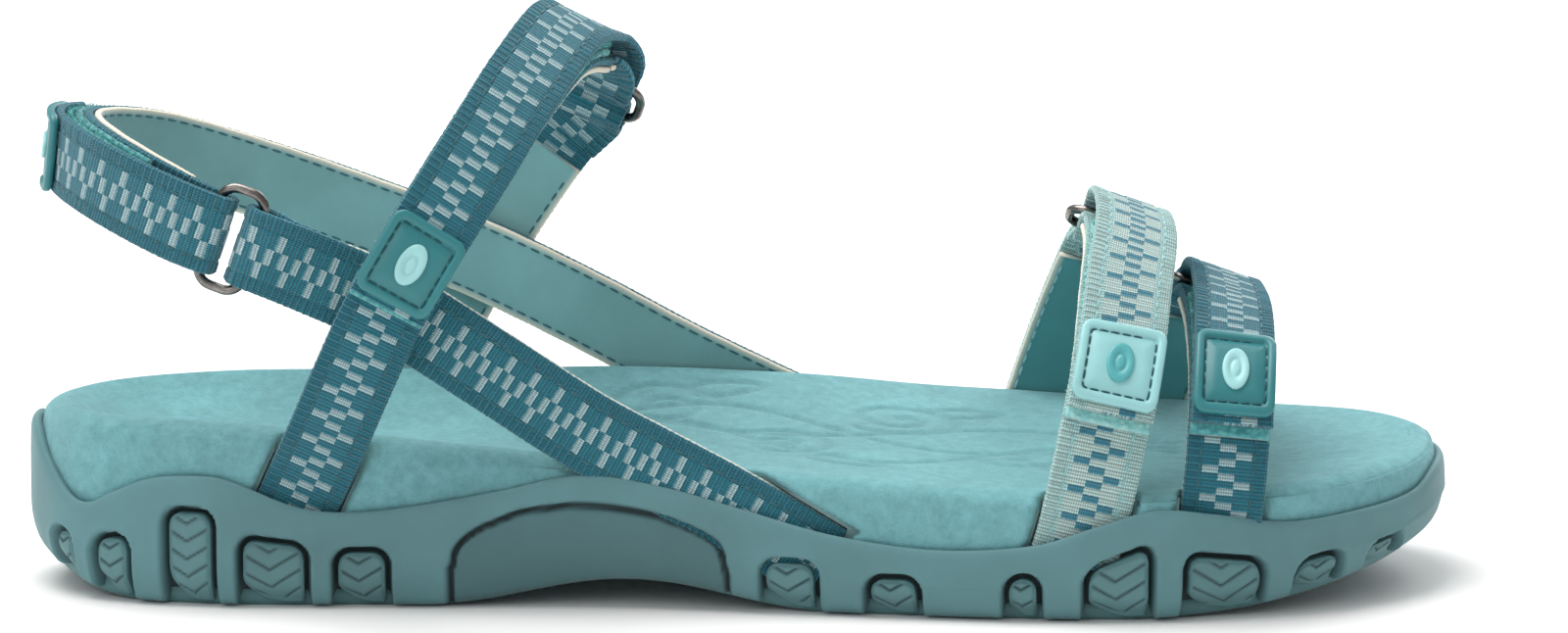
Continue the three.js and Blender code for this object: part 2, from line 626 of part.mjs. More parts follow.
for (const closure of CLOSURES) {
  const { name, width, ring } = closure;
  const finish = name === "forefoot" ? "aqua" : "webbing";
  const split = (rows) => [rows.map(([place]) => at(...place)), rows.map((row) => row[1])];
  const free = freeRoute(ring, ...split(closure.free));
  const keeper = keeperRoute(ring, ...split(closure.keeper));
  const freeFrames = stretchOf(free, 0, free.length - BAR_STOP);
  anchored(`${closure.freeName}_${name}`, free, freeFrames, width, finish, BAR_STOP);
  const sewn = keeperFrames(ring, keeper);
  anchored(`${closure.keeperName}_${name}`, keeper, sewn, width, finish, TAIL + LINING_STOP);

  add(`${name}_ring`, ringSolid(ring, width), "metal");
  const tabStart = free.length;
  const tabEnd = free.length - closure.tab;
  const leg = stretchOf(free, tabEnd, tabStart, TAB_OFFSET);
  const fold = halfTurn(ring, ring.freeBar, 1).toReversed().slice(1);
  const tabFrames = [...leg, ...fold];
  add(`${name}_pull_tab`, band(tabFrames, width, WEBBING_THICKNESS), finish);
  const patchEnd = free.rows.findLast((row) => row.run <= tabStart - BAR_STOP - PATCH_STOP).run;
  const hook = stretchOf(free, tabEnd + 3, patchEnd, HOOK_OFFSET);
  const loop = stretchOf(free, tabEnd + 1, patchEnd, LOOP_OFFSET);
  add(`${name}_hook_patch`, band(hook, width - 3, PATCH_THICKNESS), "patch");
  add(`${name}_loop_patch`, band(loop, width - 3, PATCH_THICKNESS), "patch");
  const badgeStart = tabEnd + 1;
  const plate = stretchOf(free, badgeStart, badgeStart + BADGE_LENGTH, BADGE_OFFSET, 1.6);
  const rounded = (full, length, corner) => (run) => {
    const reach = Math.max(Math.min(run, length - run), 0);
    const cut = reach < corner ? corner - Math.sqrt(corner ** 2 - (corner - reach) ** 2) : 0;
    return full - 2 * cut;
  };
  const plateWidth = rounded(width - 1, BADGE_LENGTH, 3);
  add(`${name}_badge`, band(plate, plateWidth, BADGE_THICKNESS), name === "forefoot" ? "aqua" : "badge");
  const middle = badgeStart + BADGE_LENGTH / 2;
  const disc = stretchOf(free, middle - EMBLEM_LENGTH / 2, middle + EMBLEM_LENGTH / 2, EMBLEM_OFFSET, 0.9);
  const discWidth = rounded(EMBLEM_WIDTH, EMBLEM_LENGTH, EMBLEM_WIDTH / 2 - 0.4);
  add(`${name}_emblem`, band(disc, discWidth, EMBLEM_THICKNESS), "emblem");
}

// ---- the sole ----

const FOOTBED_INSET = RIM_WALL + CLEARANCE;
const FOAM_INSET = FOOTBED_INSET + COVER_THICKNESS + CLEARANCE;
const CROWN = 2.5; // how far the footbed's edge is rounded over

function cutAll(body, cutters) {
  return cutters.reduce((left, cutter) => left.subtract(cutter), body);
}

const plateLevels = (grow, low, high) => [
  level(OUTSOLE_INSET - grow, ground(low)), level(OUTSOLE_INSET - grow, ground(high)),
];
const podsBothSides = (margin, foot, front, back) =>
  PODS.flatMap((pod) => [-1, 1].map((s) => podSolid(pod, s, margin, foot, front, back)));
const plate = soleSlab(plateLevels(0, 0, OUTSOLE_THICKNESS));
const outsole = podsBothSides(0, 0, POD_RECESS, POD_DEPTH).reduce((all, pod) => all.add(pod), plate);
add("outsole", outsole, "rubber");

const shankFrames = (lift) => {
  const frames = [];
  for (let i = 0; i <= 10; i++) {
    const x = (70 + 8 * i - PATTERN_LENGTH / 2) * stretchX;
    frames.push({ point: way(x, 0, seatAt(x) + lift), normal: way(0, 0, 1), across: side(1) });
  }
  return frames;
};
const SHANK_SINK = -(CLEARANCE + SHANK_THICKNESS / 2);
const shank = band(shankFrames(SHANK_SINK), SHANK_WIDTH, SHANK_THICKNESS);
const shankPocket = band(shankFrames(SHANK_SINK), SHANK_WIDTH, SHANK_THICKNESS, CLEARANCE, 3, CLEARANCE);
add("shank_plate", shank, "plastic");

const cavity = soleSlab([level(RIM_WALL, seat(0)), level(RIM_WALL, top(30))]);
const shell = soleSlab([
  level(3.2, ground(0.4)), level(1.3, ground(2.2)), level(0, ground(6)),
  level(0.1, rim(-5)), level(0.4, rim(-1.2)), level(1.1, rim(0)),
]);
const plateRoom = soleSlab(plateLevels(CLEARANCE, -6, OUTSOLE_THICKNESS + CLEARANCE));
const notches = podsBothSides(POD_GAP, 8, -4, POD_DEPTH + CLEARANCE);
const midsole = cutAll(shell, [cavity, plateRoom, shankPocket, ...notches, ...rimCutters]);
add("midsole", midsole, "rubber");

const foamLevels = (grow, drop) => [
  level(FOAM_INSET - grow, seat(CLEARANCE - drop)),
  level(FOAM_INSET - grow, top(-COVER_THICKNESS - CLEARANCE + grow - CROWN)),
  level(FOAM_INSET - grow + CROWN * 0.7, top(-COVER_THICKNESS - CLEARANCE + grow)),
];
const foam = soleSlab(foamLevels(0, 0), dishAt);
const foamRoom = soleSlab(foamLevels(CLEARANCE, 8), dishAt);
const skin = soleSlab([
  level(FOOTBED_INSET, seat(CLEARANCE)), level(FOOTBED_INSET, top(-CROWN)),
  level(FOOTBED_INSET + CROWN * 0.3, top(-CROWN * 0.3)), level(FOOTBED_INSET + CROWN, top(0)),
], dishAt);
add("footbed_foam", cutAll(foam, footbedCutters), "foam");
add("footbed_cover", cutAll(skin.subtract(foamRoom), footbedCutters), "suede");

export default sandal;
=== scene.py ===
"""Looks of the strappy sport sandal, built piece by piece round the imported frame. Metres, right foot,
toe towards +X, outer side of the foot towards -Y, ground at Z = 0."""

import math

import bmesh
import bpy
import numpy as np
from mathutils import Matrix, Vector


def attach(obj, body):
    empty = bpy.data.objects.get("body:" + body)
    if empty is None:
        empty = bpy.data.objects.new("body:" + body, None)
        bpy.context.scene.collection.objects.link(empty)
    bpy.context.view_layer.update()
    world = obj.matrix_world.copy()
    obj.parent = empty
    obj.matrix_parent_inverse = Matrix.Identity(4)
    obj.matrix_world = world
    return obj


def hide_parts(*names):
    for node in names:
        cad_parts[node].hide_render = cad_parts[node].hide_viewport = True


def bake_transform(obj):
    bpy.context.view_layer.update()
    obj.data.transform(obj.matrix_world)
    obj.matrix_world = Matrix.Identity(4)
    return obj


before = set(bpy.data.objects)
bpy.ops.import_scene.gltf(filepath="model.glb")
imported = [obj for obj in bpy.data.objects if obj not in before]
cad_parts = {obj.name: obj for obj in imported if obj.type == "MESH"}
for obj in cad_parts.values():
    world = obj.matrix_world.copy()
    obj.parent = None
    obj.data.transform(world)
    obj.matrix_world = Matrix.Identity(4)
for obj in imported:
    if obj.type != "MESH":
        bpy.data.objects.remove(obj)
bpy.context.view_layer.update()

# ---- Studio ----
# A long lens looks at the sandal's outer side, a little from above, over a pale floor that glows more
# and more beyond a quarter metre from the sandal, painted light that whitens the far floor. One wide
# soft light hangs above, a weaker one fills the front and a third lights the back.

ELEVATION = math.radians(9)
DISTANCE = 1.3
lens = bpy.data.cameras.new("studio_lens")
lens.lens = 160
lens.sensor_width = 36
camera = bpy.data.objects.new("studio_camera", lens)
camera.location = (0.0083, -DISTANCE * math.cos(ELEVATION), 0.049 + DISTANCE * math.sin(ELEVATION))
camera.rotation_euler = (math.pi / 2 - ELEVATION, 0, 0)
bpy.context.collection.objects.link(camera)
bpy.context.scene.camera = camera
bpy.context.scene.view_settings.view_transform = "Standard"


def soft_light(name, place, aim, size, power, colour):
    """A square area light at place, turned towards aim, with size in metres and power in watts."""
    data = bpy.data.lights.new(name, "AREA")
    data.size = size
    data.energy = power
    data.color = colour
    light = bpy.data.objects.new(name, data)
    light.location = place
    light.rotation_mode = "QUATERNION"
    light.rotation_quaternion = (Vector(aim) - Vector(place)).to_track_quat("-Z", "Y")
    bpy.context.collection.objects.link(light)


soft_light("top_light", (-0.3, 0.12, 1.1), (0, 0, 0), 0.9, 13.5, (1, 0.99, 0.97))
soft_light("front_light", (-0.8, -1.1, 0.75), (0, 0, 0.04), 0.8, 3.2, (1, 1, 1))
soft_light("back_light", (0.5, 0.9, 0.7), (0, 0, 0.04), 0.7, 6.0, (0.97, 0.99, 1))

sky = bpy.data.worlds.new("studio_sky")
sky.use_nodes = True
sky.node_tree.nodes["Background"].inputs[0].default_value = (1, 1, 1, 1)
sky.node_tree.nodes["Background"].inputs[1].default_value = 0.5
bpy.context.scene.world = sky


def link(tree, *pairs):
    """Joins each pair of sockets, an output and an input, in a node tree."""
    for out, into in pairs:
        tree.links.new(out, into)


def colour(r, g, b):
    """A display colour from 0 to 255 as the linear colour a shader takes: the sRGB curve undone."""
    channel = np.array([r, g, b]) / 255
    linear = np.where(channel <= 0.04045, channel / 12.92, ((channel + 0.055) / 1.055) ** 2.4)
    return (*[float(c) for c in linear], 1.0)


def finish_of(name, rough, sheen=0.0, metal=0.0, coat=0.0):
    """A new material with its shader and tree. The uniform numbers sit on the shader's sockets."""
    made = bpy.data.materials.new(name)
    made.use_nodes = True
    tree = made.node_tree
    shader = tree.nodes["Principled BSDF"]
    shader.inputs["Roughness"].default_value = rough
    shader.inputs["Metallic"].default_value = metal
    shader.inputs["Sheen Weight"].default_value = sheen
    shader.inputs["Coat Weight"].default_value = coat
    return made, tree, shader


def added(tree, kind, **settings):
    """A new node of a kind. Settings named in capitals set inputs by name, the others its options."""
    node = tree.nodes.new("ShaderNode" + kind)
    for key, value in settings.items():
        if key[0].isupper():
            node.inputs[key.replace("_", " ")].default_value = value
        else:
            setattr(node, key, value)
    return node


def mesh_piece(name, points, faces, finish, uv=None, **marks):
    """A smooth piece from points in millimetres and faces. uv gives two numbers for each point, and
    marks are further numbers for each point that its material reads."""
    mesh = bpy.data.meshes.new(name)
    mesh.from_pydata((np.asarray(points) * 0.001).tolist(), [], [list(f) for f in faces])
    if uv is not None:
        corner = np.empty(len(mesh.loops), np.int32)
        mesh.loops.foreach_get("vertex_index", corner)
        layer = mesh.uv_layers.new(name="weave")
        layer.data.foreach_set("uv", np.asarray(uv, np.float32)[corner].ravel())
    for mark, values in marks.items():
        layer = mesh.attributes.new(mark, "FLOAT", "POINT")
        layer.data.foreach_set("value", np.asarray(values, np.float32).ravel())
    mesh.polygons.foreach_set("use_smooth", np.ones(len(mesh.polygons), bool))
    mesh.materials.append(finish)
    mesh.update()
    piece = bpy.data.objects.new(name, mesh)
    bpy.context.collection.objects.link(piece)
    return piece


FLOOR_RADIUS = 14000
FLOOR_LEVEL = -0.05


def floor_disc(around=64, rows=16):
    """A level round sheet: rings of points whose radius grows by the square of the ring's number,
    round one middle point."""
    turn = np.linspace(0, 2 * np.pi, around, endpoint=False)
    radius = FLOOR_RADIUS * np.linspace(0.1, 1, rows) ** 2
    rings = np.stack([radius[:, None] * np.cos(turn), radius[:, None] * np.sin(turn),
                      np.full((rows, around), FLOOR_LEVEL)], -1).reshape(-1, 3)
    i, j = np.meshgrid(np.arange(rows - 1), np.arange(around), indexing="ij")
    a, b = i * around + j, i * around + (j + 1) % around
    faces = [tuple(f) for f in np.stack([a, a + around, b + around, b], -1).reshape(-1, 4)]
    faces += [(len(rings), k, (k + 1) % around) for k in range(around)]
    return np.vstack([rings, [[0, 0, FLOOR_LEVEL]]]), faces


floor_finish, tree, shader = finish_of("floor_white_glowing", 0.9)
shader.inputs["Base Color"].default_value = (0.93, 0.925, 0.92, 1)
# Painted light: the floor glows, not at all within 0.25 m of the middle and 0.55 strong beyond 0.8 m.
shader.inputs["Emission Color"].default_value = (1, 1, 1, 1)
spot = added(tree, "TexCoord")
far = added(tree, "VectorMath", operation="LENGTH")
glow = added(tree, "MapRange", interpolation_type="SMOOTHSTEP")
for socket, value in zip(glow.inputs[1:5], (0.25, 0.8, 0.0, 0.55)):
    socket.default_value = value
link(tree, (spot.outputs["Object"], far.inputs[0]), (far.outputs["Value"], glow.inputs[0]),
     (glow.outputs[0], shader.inputs["Emission Strength"]))
mesh_piece("floor", *floor_disc(), floor_finish)

# ---- Midsole ----
# Moulded rubber cup that carries the footbed: one wall all round with a rolled lip, a rounded foot,
# a sunk arch panel with a groove round it, and notches that the outsole's fingers come up through.

LENGTH = 265.0
RIM_WALL = 2.2
POD_GAP = 1.15
POD_CORNER = 2.4
POD_TRIM = 0.95
OUTER_EDGE = [
    (0, 0), (2.5, -12), (12, -24.5), (35, -32.5), (70, -33.5), (105, -34), (145, -40), (180, -46),
    (205, -47), (230, -41), (250, -28), (261, -13),
]
INNER_EDGE = [
    (265, 5), (263, 19), (255, 32), (240, 41), (215, 46.2), (190, 47), (160, 41), (130, 32),
    (100, 28.5), (70, 30), (35, 32), (12, 24), (2.5, 12),
]
PODS = np.array([
    (5, 9.3, 12.6, 12.6), (13.3, 20.6, 12.4, 12.8), (27, 36.6, 18.2, 18), (40.6, 53.7, 13.4, 12),
    (58.5, 68.9, 11, 11), (136.3, 146.8, 10.3, 10), (155.4, 165.4, 7.8, 7.8),
    (180.5, 187.3, 8.5, 8.7), (194.9, 207.8, 10, 14.4), (213.7, 228.8, 12.6, 11),
    (234.6, 243.7, 10, 11.2), (248.3, 255.5, 11, 12.4),
])
ARCH_PANEL = [
    (79.8, 7), (80.8, 11), (84, 14.2), (88, 16.2), (93.5, 18.2), (104.5, 19.4), (115.3, 18.2),
    (122.6, 16), (128, 13.2), (129.4, 11), (130.2, 7),
]


def profile(pairs):
    """A smooth height over x: a cubic between each pair of points, whose slope at a point is that
    of the line between its neighbours, level past both ends."""
    x, z = np.array(pairs, float).T
    slope = np.zeros_like(z)
    slope[1:-1] = (z[2:] - z[:-2]) / (x[2:] - x[:-2])

    def height(s):
        s = np.clip(s, x[0], x[-1])
        k = np.clip(np.searchsorted(x, s, "right") - 1, 0, len(x) - 2)
        h = x[k + 1] - x[k]
        t = (s - x[k]) / h
        return (
            (1 + 2 * t) * (1 - t) ** 2 * z[k] + t * (1 - t) ** 2 * h * slope[k]
            + t * t * (3 - 2 * t) * z[k + 1] + t * t * (t - 1) * h * slope[k + 1]
        )

    return height


rim_outer = profile([
    (0, 31), (3.5, 25), (8, 19.4), (12, 18.2), (17, 20.6), (24, 23.5), (30, 24.3), (38, 24),
    (52, 18.8), (62, 17.9), (74, 19.2), (90, 22.1), (104, 24.9), (118.5, 23), (132.5, 19.4),
    (148, 15.3), (162, 13.3), (173, 13), (187, 14.4), (196.5, 17.5), (208, 20.6), (219.5, 19.5),
    (233, 17.4), (247, 18), (258.5, 19.5), (265, 23),
])
seat_height = profile([
    (0, 20), (5, 16), (9, 15.2), (14, 15), (20, 16.8), (26, 20.3), (38, 20.3), (46, 16.2),
    (52, 15.2), (60, 14.5), (90, 15.5), (105, 17), (118, 16), (132, 13.5), (140, 12.3),
    (148, 10.6), (160, 9.7), (172, 9.3), (187, 10.5), (194, 12.3), (200, 13.9), (208, 16.4),
    (216, 15.4), (228, 14.3), (235, 13.3), (245, 13.5), (256, 14.9), (262, 17.4), (265, 18),
])
arch_top = profile(ARCH_PANEL)


def smooth_line(points, closed, count):
    """Centripetal Catmull-Rom curve through points, sampled evenly in its own parameter, with the
    same number of samples between every two points. Open ends are carried on past the last point."""
    p = np.array(points, float)
    p = np.vstack([p[-1:], p, p[:2]]) if closed else np.vstack([2 * p[0] - p[1], p, 2 * p[-1] - p[-2]])
    spans = len(p) - 3
    u = np.linspace(0, spans, count, endpoint=not closed)
    k = np.minimum(u.astype(int), spans - 1)
    t = (u - k)[:, None]
    p0, p1, p2, p3 = p[k], p[k + 1], p[k + 2], p[k + 3]
    gap = lambda a, b: np.linalg.norm(b - a, axis=1, keepdims=True) ** 0.5
    d0, d1, d2 = gap(p0, p1), gap(p1, p2), gap(p2, p3)
    d1 = np.where(d1 < 1e-4, 1.0, d1)
    d0 = np.where(d0 < 1e-4, d1, d0)
    d2 = np.where(d2 < 1e-4, d1, d2)
    m1 = ((p1 - p0) / d0 - (p2 - p0) / (d0 + d1) + (p2 - p1) / d1) * d1
    m2 = ((p2 - p1) / d1 - (p3 - p1) / (d1 + d2) + (p3 - p2) / d2) * d1
    a, b = 2 * p1 - 2 * p2 + m1 + m2, -3 * p1 + 3 * p2 - 2 * m1 - m2
    return ((a * t + b) * t + m1) * t + p1


def eased(low, high, value):
    """0 below low, 1 above high, and a smooth S between them."""
    t = np.clip((value - low) / (high - low), 0, 1)
    return t * t * (3 - 2 * t)


def evenly(line, count):
    """A closed plan line resampled at equal steps along it, with its inward way at each point."""
    ring = np.vstack([line, line[:1]])
    run = np.concatenate([[0], np.cumsum(np.linalg.norm(np.diff(ring, axis=0), axis=1))])
    at = np.linspace(0, run[-1], count, endpoint=False)
    p = np.stack([np.interp(at, run, ring[:, c]) for c in range(2)], -1)
    ahead = np.roll(p, -3, 0) - np.roll(p, 3, 0)
    ahead /= np.linalg.norm(ahead, axis=1, keepdims=True)
    return p, np.stack([-ahead[:, 1], ahead[:, 0]], -1), at


def ground(s):
    """Height of the sole's underside over the floor: it lifts at the heel, arch and toe."""
    heel = 7 * np.clip(1 - s / 25, 0, 1) ** 2
    arch = 5 * np.sin(np.pi * np.clip((s - 75) / 75, 0, 1)) ** 2
    toe = 11 * (np.clip(s - 203, 0, 62) / 62) ** 2
    return heel + arch + toe


def rim_height(s, y):
    """Top of the midsole's wall: the arch side of the foot stands up to 5 mm higher."""
    return rim_outer(s) + 5 * np.exp(-(((s - 115) / 28) ** 2)) * eased(-4, 8, y)


COLUMNS = 1300
outline = smooth_line(OUTER_EDGE + INNER_EDGE, True, 5000)
edge, inward, run = evenly(outline, COLUMNS)
girth = run[-1] + run[1]


def pod_places():
    """For each finger, on both sides: where its middle comes along the edge, its half width along
    the edge, its heights at the heel and toe ends, and which way the edge runs there."""
    places = []
    for start, stop, rise, rise_front in PODS:
        for side in (-1, 1):
            mine = np.flatnonzero(edge[:, 1] * side > 0)
            k = mine[np.argmin(abs(edge[mine, 0] - (start + stop) / 2))]
            lean = max(abs(inward[k, 1]), 0.35)
            half = max((stop - start) / 2 / lean - POD_TRIM, 1.2)
            places.append((run[k], half, rise - 0.7, rise_front - 0.7, -side))
    return places


pods = pod_places()


def round_window(across, height, half, top, corner):
    """Distance outside a window that is open below and has two rounded corners on top."""
    dx = np.maximum(np.abs(across) - half + corner, 0)
    dz = np.maximum(height - top + corner, 0)
    straight = np.maximum(np.abs(across) - half, height - top)
    return np.where((dx > 0) & (dz > 0), np.hypot(dx, dz) - corner, straight)


def notch_distance(at, height):
    """Distance from the nearest finger, for places along the edge and heights."""
    nearest = np.full(np.broadcast(at, height).shape, 99.0)
    for centre, half, rise, rise_front, way in pods:
        off = (at - centre + girth / 2) % girth - girth / 2
        top = rise + (rise_front - rise) * np.clip(off * way / half / 2 + 0.5, 0, 1)
        nearest = np.minimum(nearest, round_window(off, height, half, top, min(POD_CORNER, half)))
    return nearest


def arch_distance(station, height):
    """Distance from the arch panel's outline, which is open below: negative inside the panel."""
    x = np.concatenate([np.full(8, 79.8), np.linspace(79.8, 130.2, 120), np.full(8, 130.2)])
    z = np.concatenate([np.linspace(0, 7, 8), arch_top(x[8:-8]), np.linspace(7, 0, 8)])
    far = np.hypot(station[:, None] - x, height[:, None] - z)
    k = np.clip(far.argmin(1), 1, len(x) - 2)
    ahead = np.stack([x[k + 1] - x[k - 1], z[k + 1] - z[k - 1]], -1)
    ahead /= np.linalg.norm(ahead, axis=1, keepdims=True)
    off = np.stack([station - x[k], height - z[k]], -1)
    return off[:, 1] * ahead[:, 0] - off[:, 0] * ahead[:, 1]


def wrapped(rows, columns, closed_rows):
    """Quads of a grid that is closed along its columns, and along its rows too if asked."""
    i, j = np.meshgrid(np.arange(rows if closed_rows else rows - 1), np.arange(columns), indexing="ij")
    a, b = i * columns + j, i * columns + (j + 1) % columns
    c, d = (i + 1) % rows * columns + (j + 1) % columns, (i + 1) % rows * columns + j
    return np.stack([a, b, c, d], -1).reshape(-1, 4)


def midsole_wall():
    """Closed ring of sections round the edge. Each section rises from the foot to the lip along a
    smooth line through (inset, height) levels and comes back down inside. Notches and the arch
    groove are dents in its outer face."""
    s, y = edge.T
    low, high, bed = ground(s), rim_height(s, y), seat_height(s)
    level = lambda inset, height: (np.full(COLUMNS, float(inset)), height)
    levels = [
        level(5, low + 0.7), level(3.2, low + 0.35), level(1.3, low + 1.9), level(0.15, low + 6),
        level(0, (low + high) / 2), level(0.1, high - 4), level(0.35, high - 1.1),
        level(1.15, high), level(RIM_WALL, high - 0.7), level(RIM_WALL + 0.2, high - 2.5),
    ]
    inset, height = (np.array(part) for part in zip(*levels))
    rows = np.concatenate([np.linspace(0, 3, 14, endpoint=False), np.linspace(3, 5, 22, endpoint=False),
                           np.linspace(5, 9, 18)])
    stack = np.stack([inset, height], -1).reshape(len(levels), -1)
    k = np.minimum(rows.astype(int), len(levels) - 2)
    t = (rows - k)[:, None]
    p = np.vstack([stack[:1], stack, stack[-1:]])
    p0, p1, p2, p3 = p[k], p[k + 1], p[k + 2], p[k + 3]
    held = 0.5 * (2 * p1 + (p2 - p0) * t + (2 * p0 - 5 * p1 + 4 * p2 - p3) * t * t
                  + (3 * p1 - p0 - 3 * p2 + p3) * t ** 3)
    outer = held.reshape(len(rows), COLUMNS, 2)
    inset, height = outer[..., 0], outer[..., 1]
    shown = (rows <= 6.2)[:, None]
    gap = notch_distance(run[None], height)
    notch = (1 - eased(0.75, POD_GAP + 0.35, gap)) * shown
    lip = (eased(POD_GAP - 0.2, POD_GAP + 0.5, gap) - eased(POD_GAP + 0.5, POD_GAP + 2.4, gap)) * shown
    station = np.broadcast_to(s[None], height.shape)
    near_arch = (np.abs(s - 105) < 34)[None] & shown
    panel = np.full(height.shape, 9.0)
    panel[near_arch] = arch_distance(station[near_arch], height[near_arch])
    groove = (1 - eased(0.25, 0.8, np.abs(panel))) * near_arch
    sunk = (1 - eased(-0.3, 0.3, panel)) * near_arch
    inset = inset + 3.4 * notch - 0.16 * lip + 1.5 * groove + 0.45 * sunk * (1 - notch)
    height = height + 1.1 * notch * (1 - eased(0.5, 4.5, height - low))
    zero = np.zeros(COLUMNS)
    inner = [(RIM_WALL + 0.2, bed - 0.2), (4, bed - 0.9), (15, bed - 1.2), (15, low + 4.6),
             (7.5, low + 4.2), (6.6, low + 1.6)]
    inset = np.vstack([inset, *[zero[None] + i for i, _ in inner]])
    height = np.vstack([height, *[h[None] for _, h in inner]])
    plain = np.zeros((len(inner), COLUMNS))
    place = edge[None] + inward[None] * inset[..., None]
    points = np.concatenate([place - (LENGTH / 2, 0), height[..., None]], -1)
    # The second array is painted shade, dark in the notches and in the groove round the arch panel; the
    # third marks the sunk arch panel, which is darkened too.
    return points, np.vstack([np.maximum(notch, groove), plain]), np.vstack([sunk, plain])


def outward(piece):
    """Turns the faces of a closed piece outwards, after points that share a place are joined."""
    work = bmesh.new()
    work.from_mesh(piece.data)
    bmesh.ops.remove_doubles(work, verts=work.verts, dist=1e-6)
    bmesh.ops.dissolve_degenerate(work, edges=work.edges, dist=1e-7)
    bmesh.ops.recalc_face_normals(work, faces=work.faces)
    if work.calc_volume(signed=True) < 0:
        bmesh.ops.reverse_faces(work, faces=work.faces)
    work.to_mesh(piece.data)
    work.free()


def ramp(tree, low, high, start=0.0, stop=1.0):
    """A ramp from one display colour to another as its input goes from start to stop."""
    node = added(tree, "ValToRGB")
    for end, place, tone in zip(node.color_ramp.elements, (start, stop), (low, high)):
        end.position, end.color = place, colour(*tone)
    return node


def shades(base, bright=1.05):
    """A colour's darker and lighter cloud tones: 0.93 and bright times its numbers, 255 at most."""
    return [c * 0.93 for c in base], [min(c * bright, 255) for c in base]


def moulded(name, base, dark, mark, rough=0.62, fine=0.05):
    """Rubber: broad faint clouds of tone, a fine matt grain, and painted shade where a mark is 1."""
    made, tree, shader = finish_of(name, rough, sheen=0.12)
    spot = added(tree, "TexCoord")
    clouds = added(tree, "TexNoise", Scale=38.0, Detail=4.0, Roughness=0.6)
    tone = ramp(tree, *shades(base, 1.06), 0.3, 0.72)
    corner = added(tree, "Attribute", attribute_name=mark)
    # Painted shade: the colour goes towards dark where the mark is 1.
    shade = added(tree, "Mix", data_type="RGBA")
    shade.inputs[7].default_value = colour(*dark)
    grain = added(tree, "TexNoise", Scale=1500.0, Detail=3.0)
    scuffs = added(tree, "TexNoise", Scale=220.0, Detail=6.0, Roughness=0.7)
    rough_range = added(tree, "MapRange", To_Min=rough - 0.08, To_Max=rough + 0.14)
    bump = added(tree, "Bump", Strength=0.35, Distance=fine * 0.001)
    link(tree, (spot.outputs["Object"], clouds.inputs["Vector"]), (clouds.outputs[0], tone.inputs[0]),
         (spot.outputs["Object"], grain.inputs["Vector"]), (spot.outputs["Object"], scuffs.inputs["Vector"]),
         (tone.outputs[0], shade.inputs[6]), (corner.outputs["Fac"], shade.inputs[0]),
         (shade.outputs[2], shader.inputs["Base Color"]), (scuffs.outputs[0], rough_range.inputs[0]),
         (rough_range.outputs[0], shader.inputs["Roughness"]), (grain.outputs[0], bump.inputs["Height"]),
         (bump.outputs[0], shader.inputs["Normal"]))
    return made


midsole_finish = moulded("midsole_rubber", (86, 130, 135), (24, 44, 48), "corner")
points, corner, sunk = midsole_wall()
# The corner mark is painted shade in the notches and the arch groove, with 0.36 more over the sunk arch
# panel.
midsole = mesh_piece("midsole_cup", points.reshape(-1, 3), wrapped(len(points), COLUMNS, True),
                     midsole_finish, corner=np.clip(corner + 0.36 * sunk, 0, 1))
outward(midsole)
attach(midsole, "sandal")
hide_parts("midsole")

# ---- Outsole ----
# Harder rubber under the midsole: a plate with a cut tread, and blocks that turn up at its edge
# into the midsole's notches. Each block has downward chevrons and stands just inside the wall.

PLATE_INSET = 4.5
PLATE_THICKNESS = 3.5
STATIONS = 380


def edge_at(inset):
    """The plan line moved in by an inset, as two branches of y over x, outer side and inner side."""
    line = edge + inward * inset
    tips = int(np.argmin(line[:, 0])), int(np.argmax(line[:, 0]))
    ring = np.roll(line, -tips[0], 0)
    toe = (tips[1] - tips[0]) % COLUMNS
    outer, inner = ring[: toe + 1], np.vstack([ring[toe:], ring[:1]])[::-1]
    tidy = lambda side: (np.maximum.accumulate(side[:, 0]) + np.arange(len(side)) * 1e-9, side[:, 1])
    return tidy(outer), tidy(inner)


def stations_between(inset):
    """Stations from heel tip to toe tip of an inset plan line, closer together towards the tips."""
    outer, _ = edge_at(inset)
    middle, half = (outer[0][0] + outer[0][-1]) / 2, (outer[0][-1] - outer[0][0]) / 2
    angle = np.linspace(0, np.pi, STATIONS)
    return middle - half * (0.72 * np.cos(angle) + 0.28 * (1 - 2 * angle / np.pi))


def slab(levels, across, tops):
    """Closed sections from heel to toe. levels are (inset, height at the outer side, height at the
    inner side) from bottom to top, across is how many points span the upper and the lower face, and
    tops gives the two faces a height from station, place and share across, and edge height."""
    outer, inner = [], []
    for inset, z_outer, z_inner in levels:
        s = stations_between(inset)
        (xo, yo), (xi, yi) = edge_at(inset)
        outer.append(np.stack([s, np.interp(s, xo, yo), z_outer(s)], -1))
        inner.append(np.stack([s, np.interp(s, xi, yi), z_inner(s)], -1))
    for k in range(len(levels)):
        for tip in (0, -1):
            inner[k][tip] = outer[k][tip]

    def face(k, shape, count):
        a, b = outer[k][:, None], inner[k][:, None]
        u = np.linspace(0, 1, count + 2)[1:-1]
        rows = a + (b - a) * u[None, :, None]
        rows[..., 2] = shape(rows[..., 0], rows[..., 1], u[None], rows[..., 2])
        rows[0], rows[-1] = a[0], a[-1]
        return rows

    loops = [np.stack(outer, 1), face(-1, tops[0], across[0]), np.stack(inner[::-1], 1),
             face(0, tops[1], across[1])[:, ::-1]]
    ring = np.concatenate(loops, 1)
    ring[..., 0] -= LENGTH / 2
    return ring


def bar_pattern(value, pitch, width):
    """1 on bars of a width that repeat at a pitch along value, 0 between them, with eased sides."""
    off = np.abs((value / pitch) % 1 - 0.5) * pitch
    return 1 - eased(width / 2 - 0.25, width / 2 + 0.25, off)


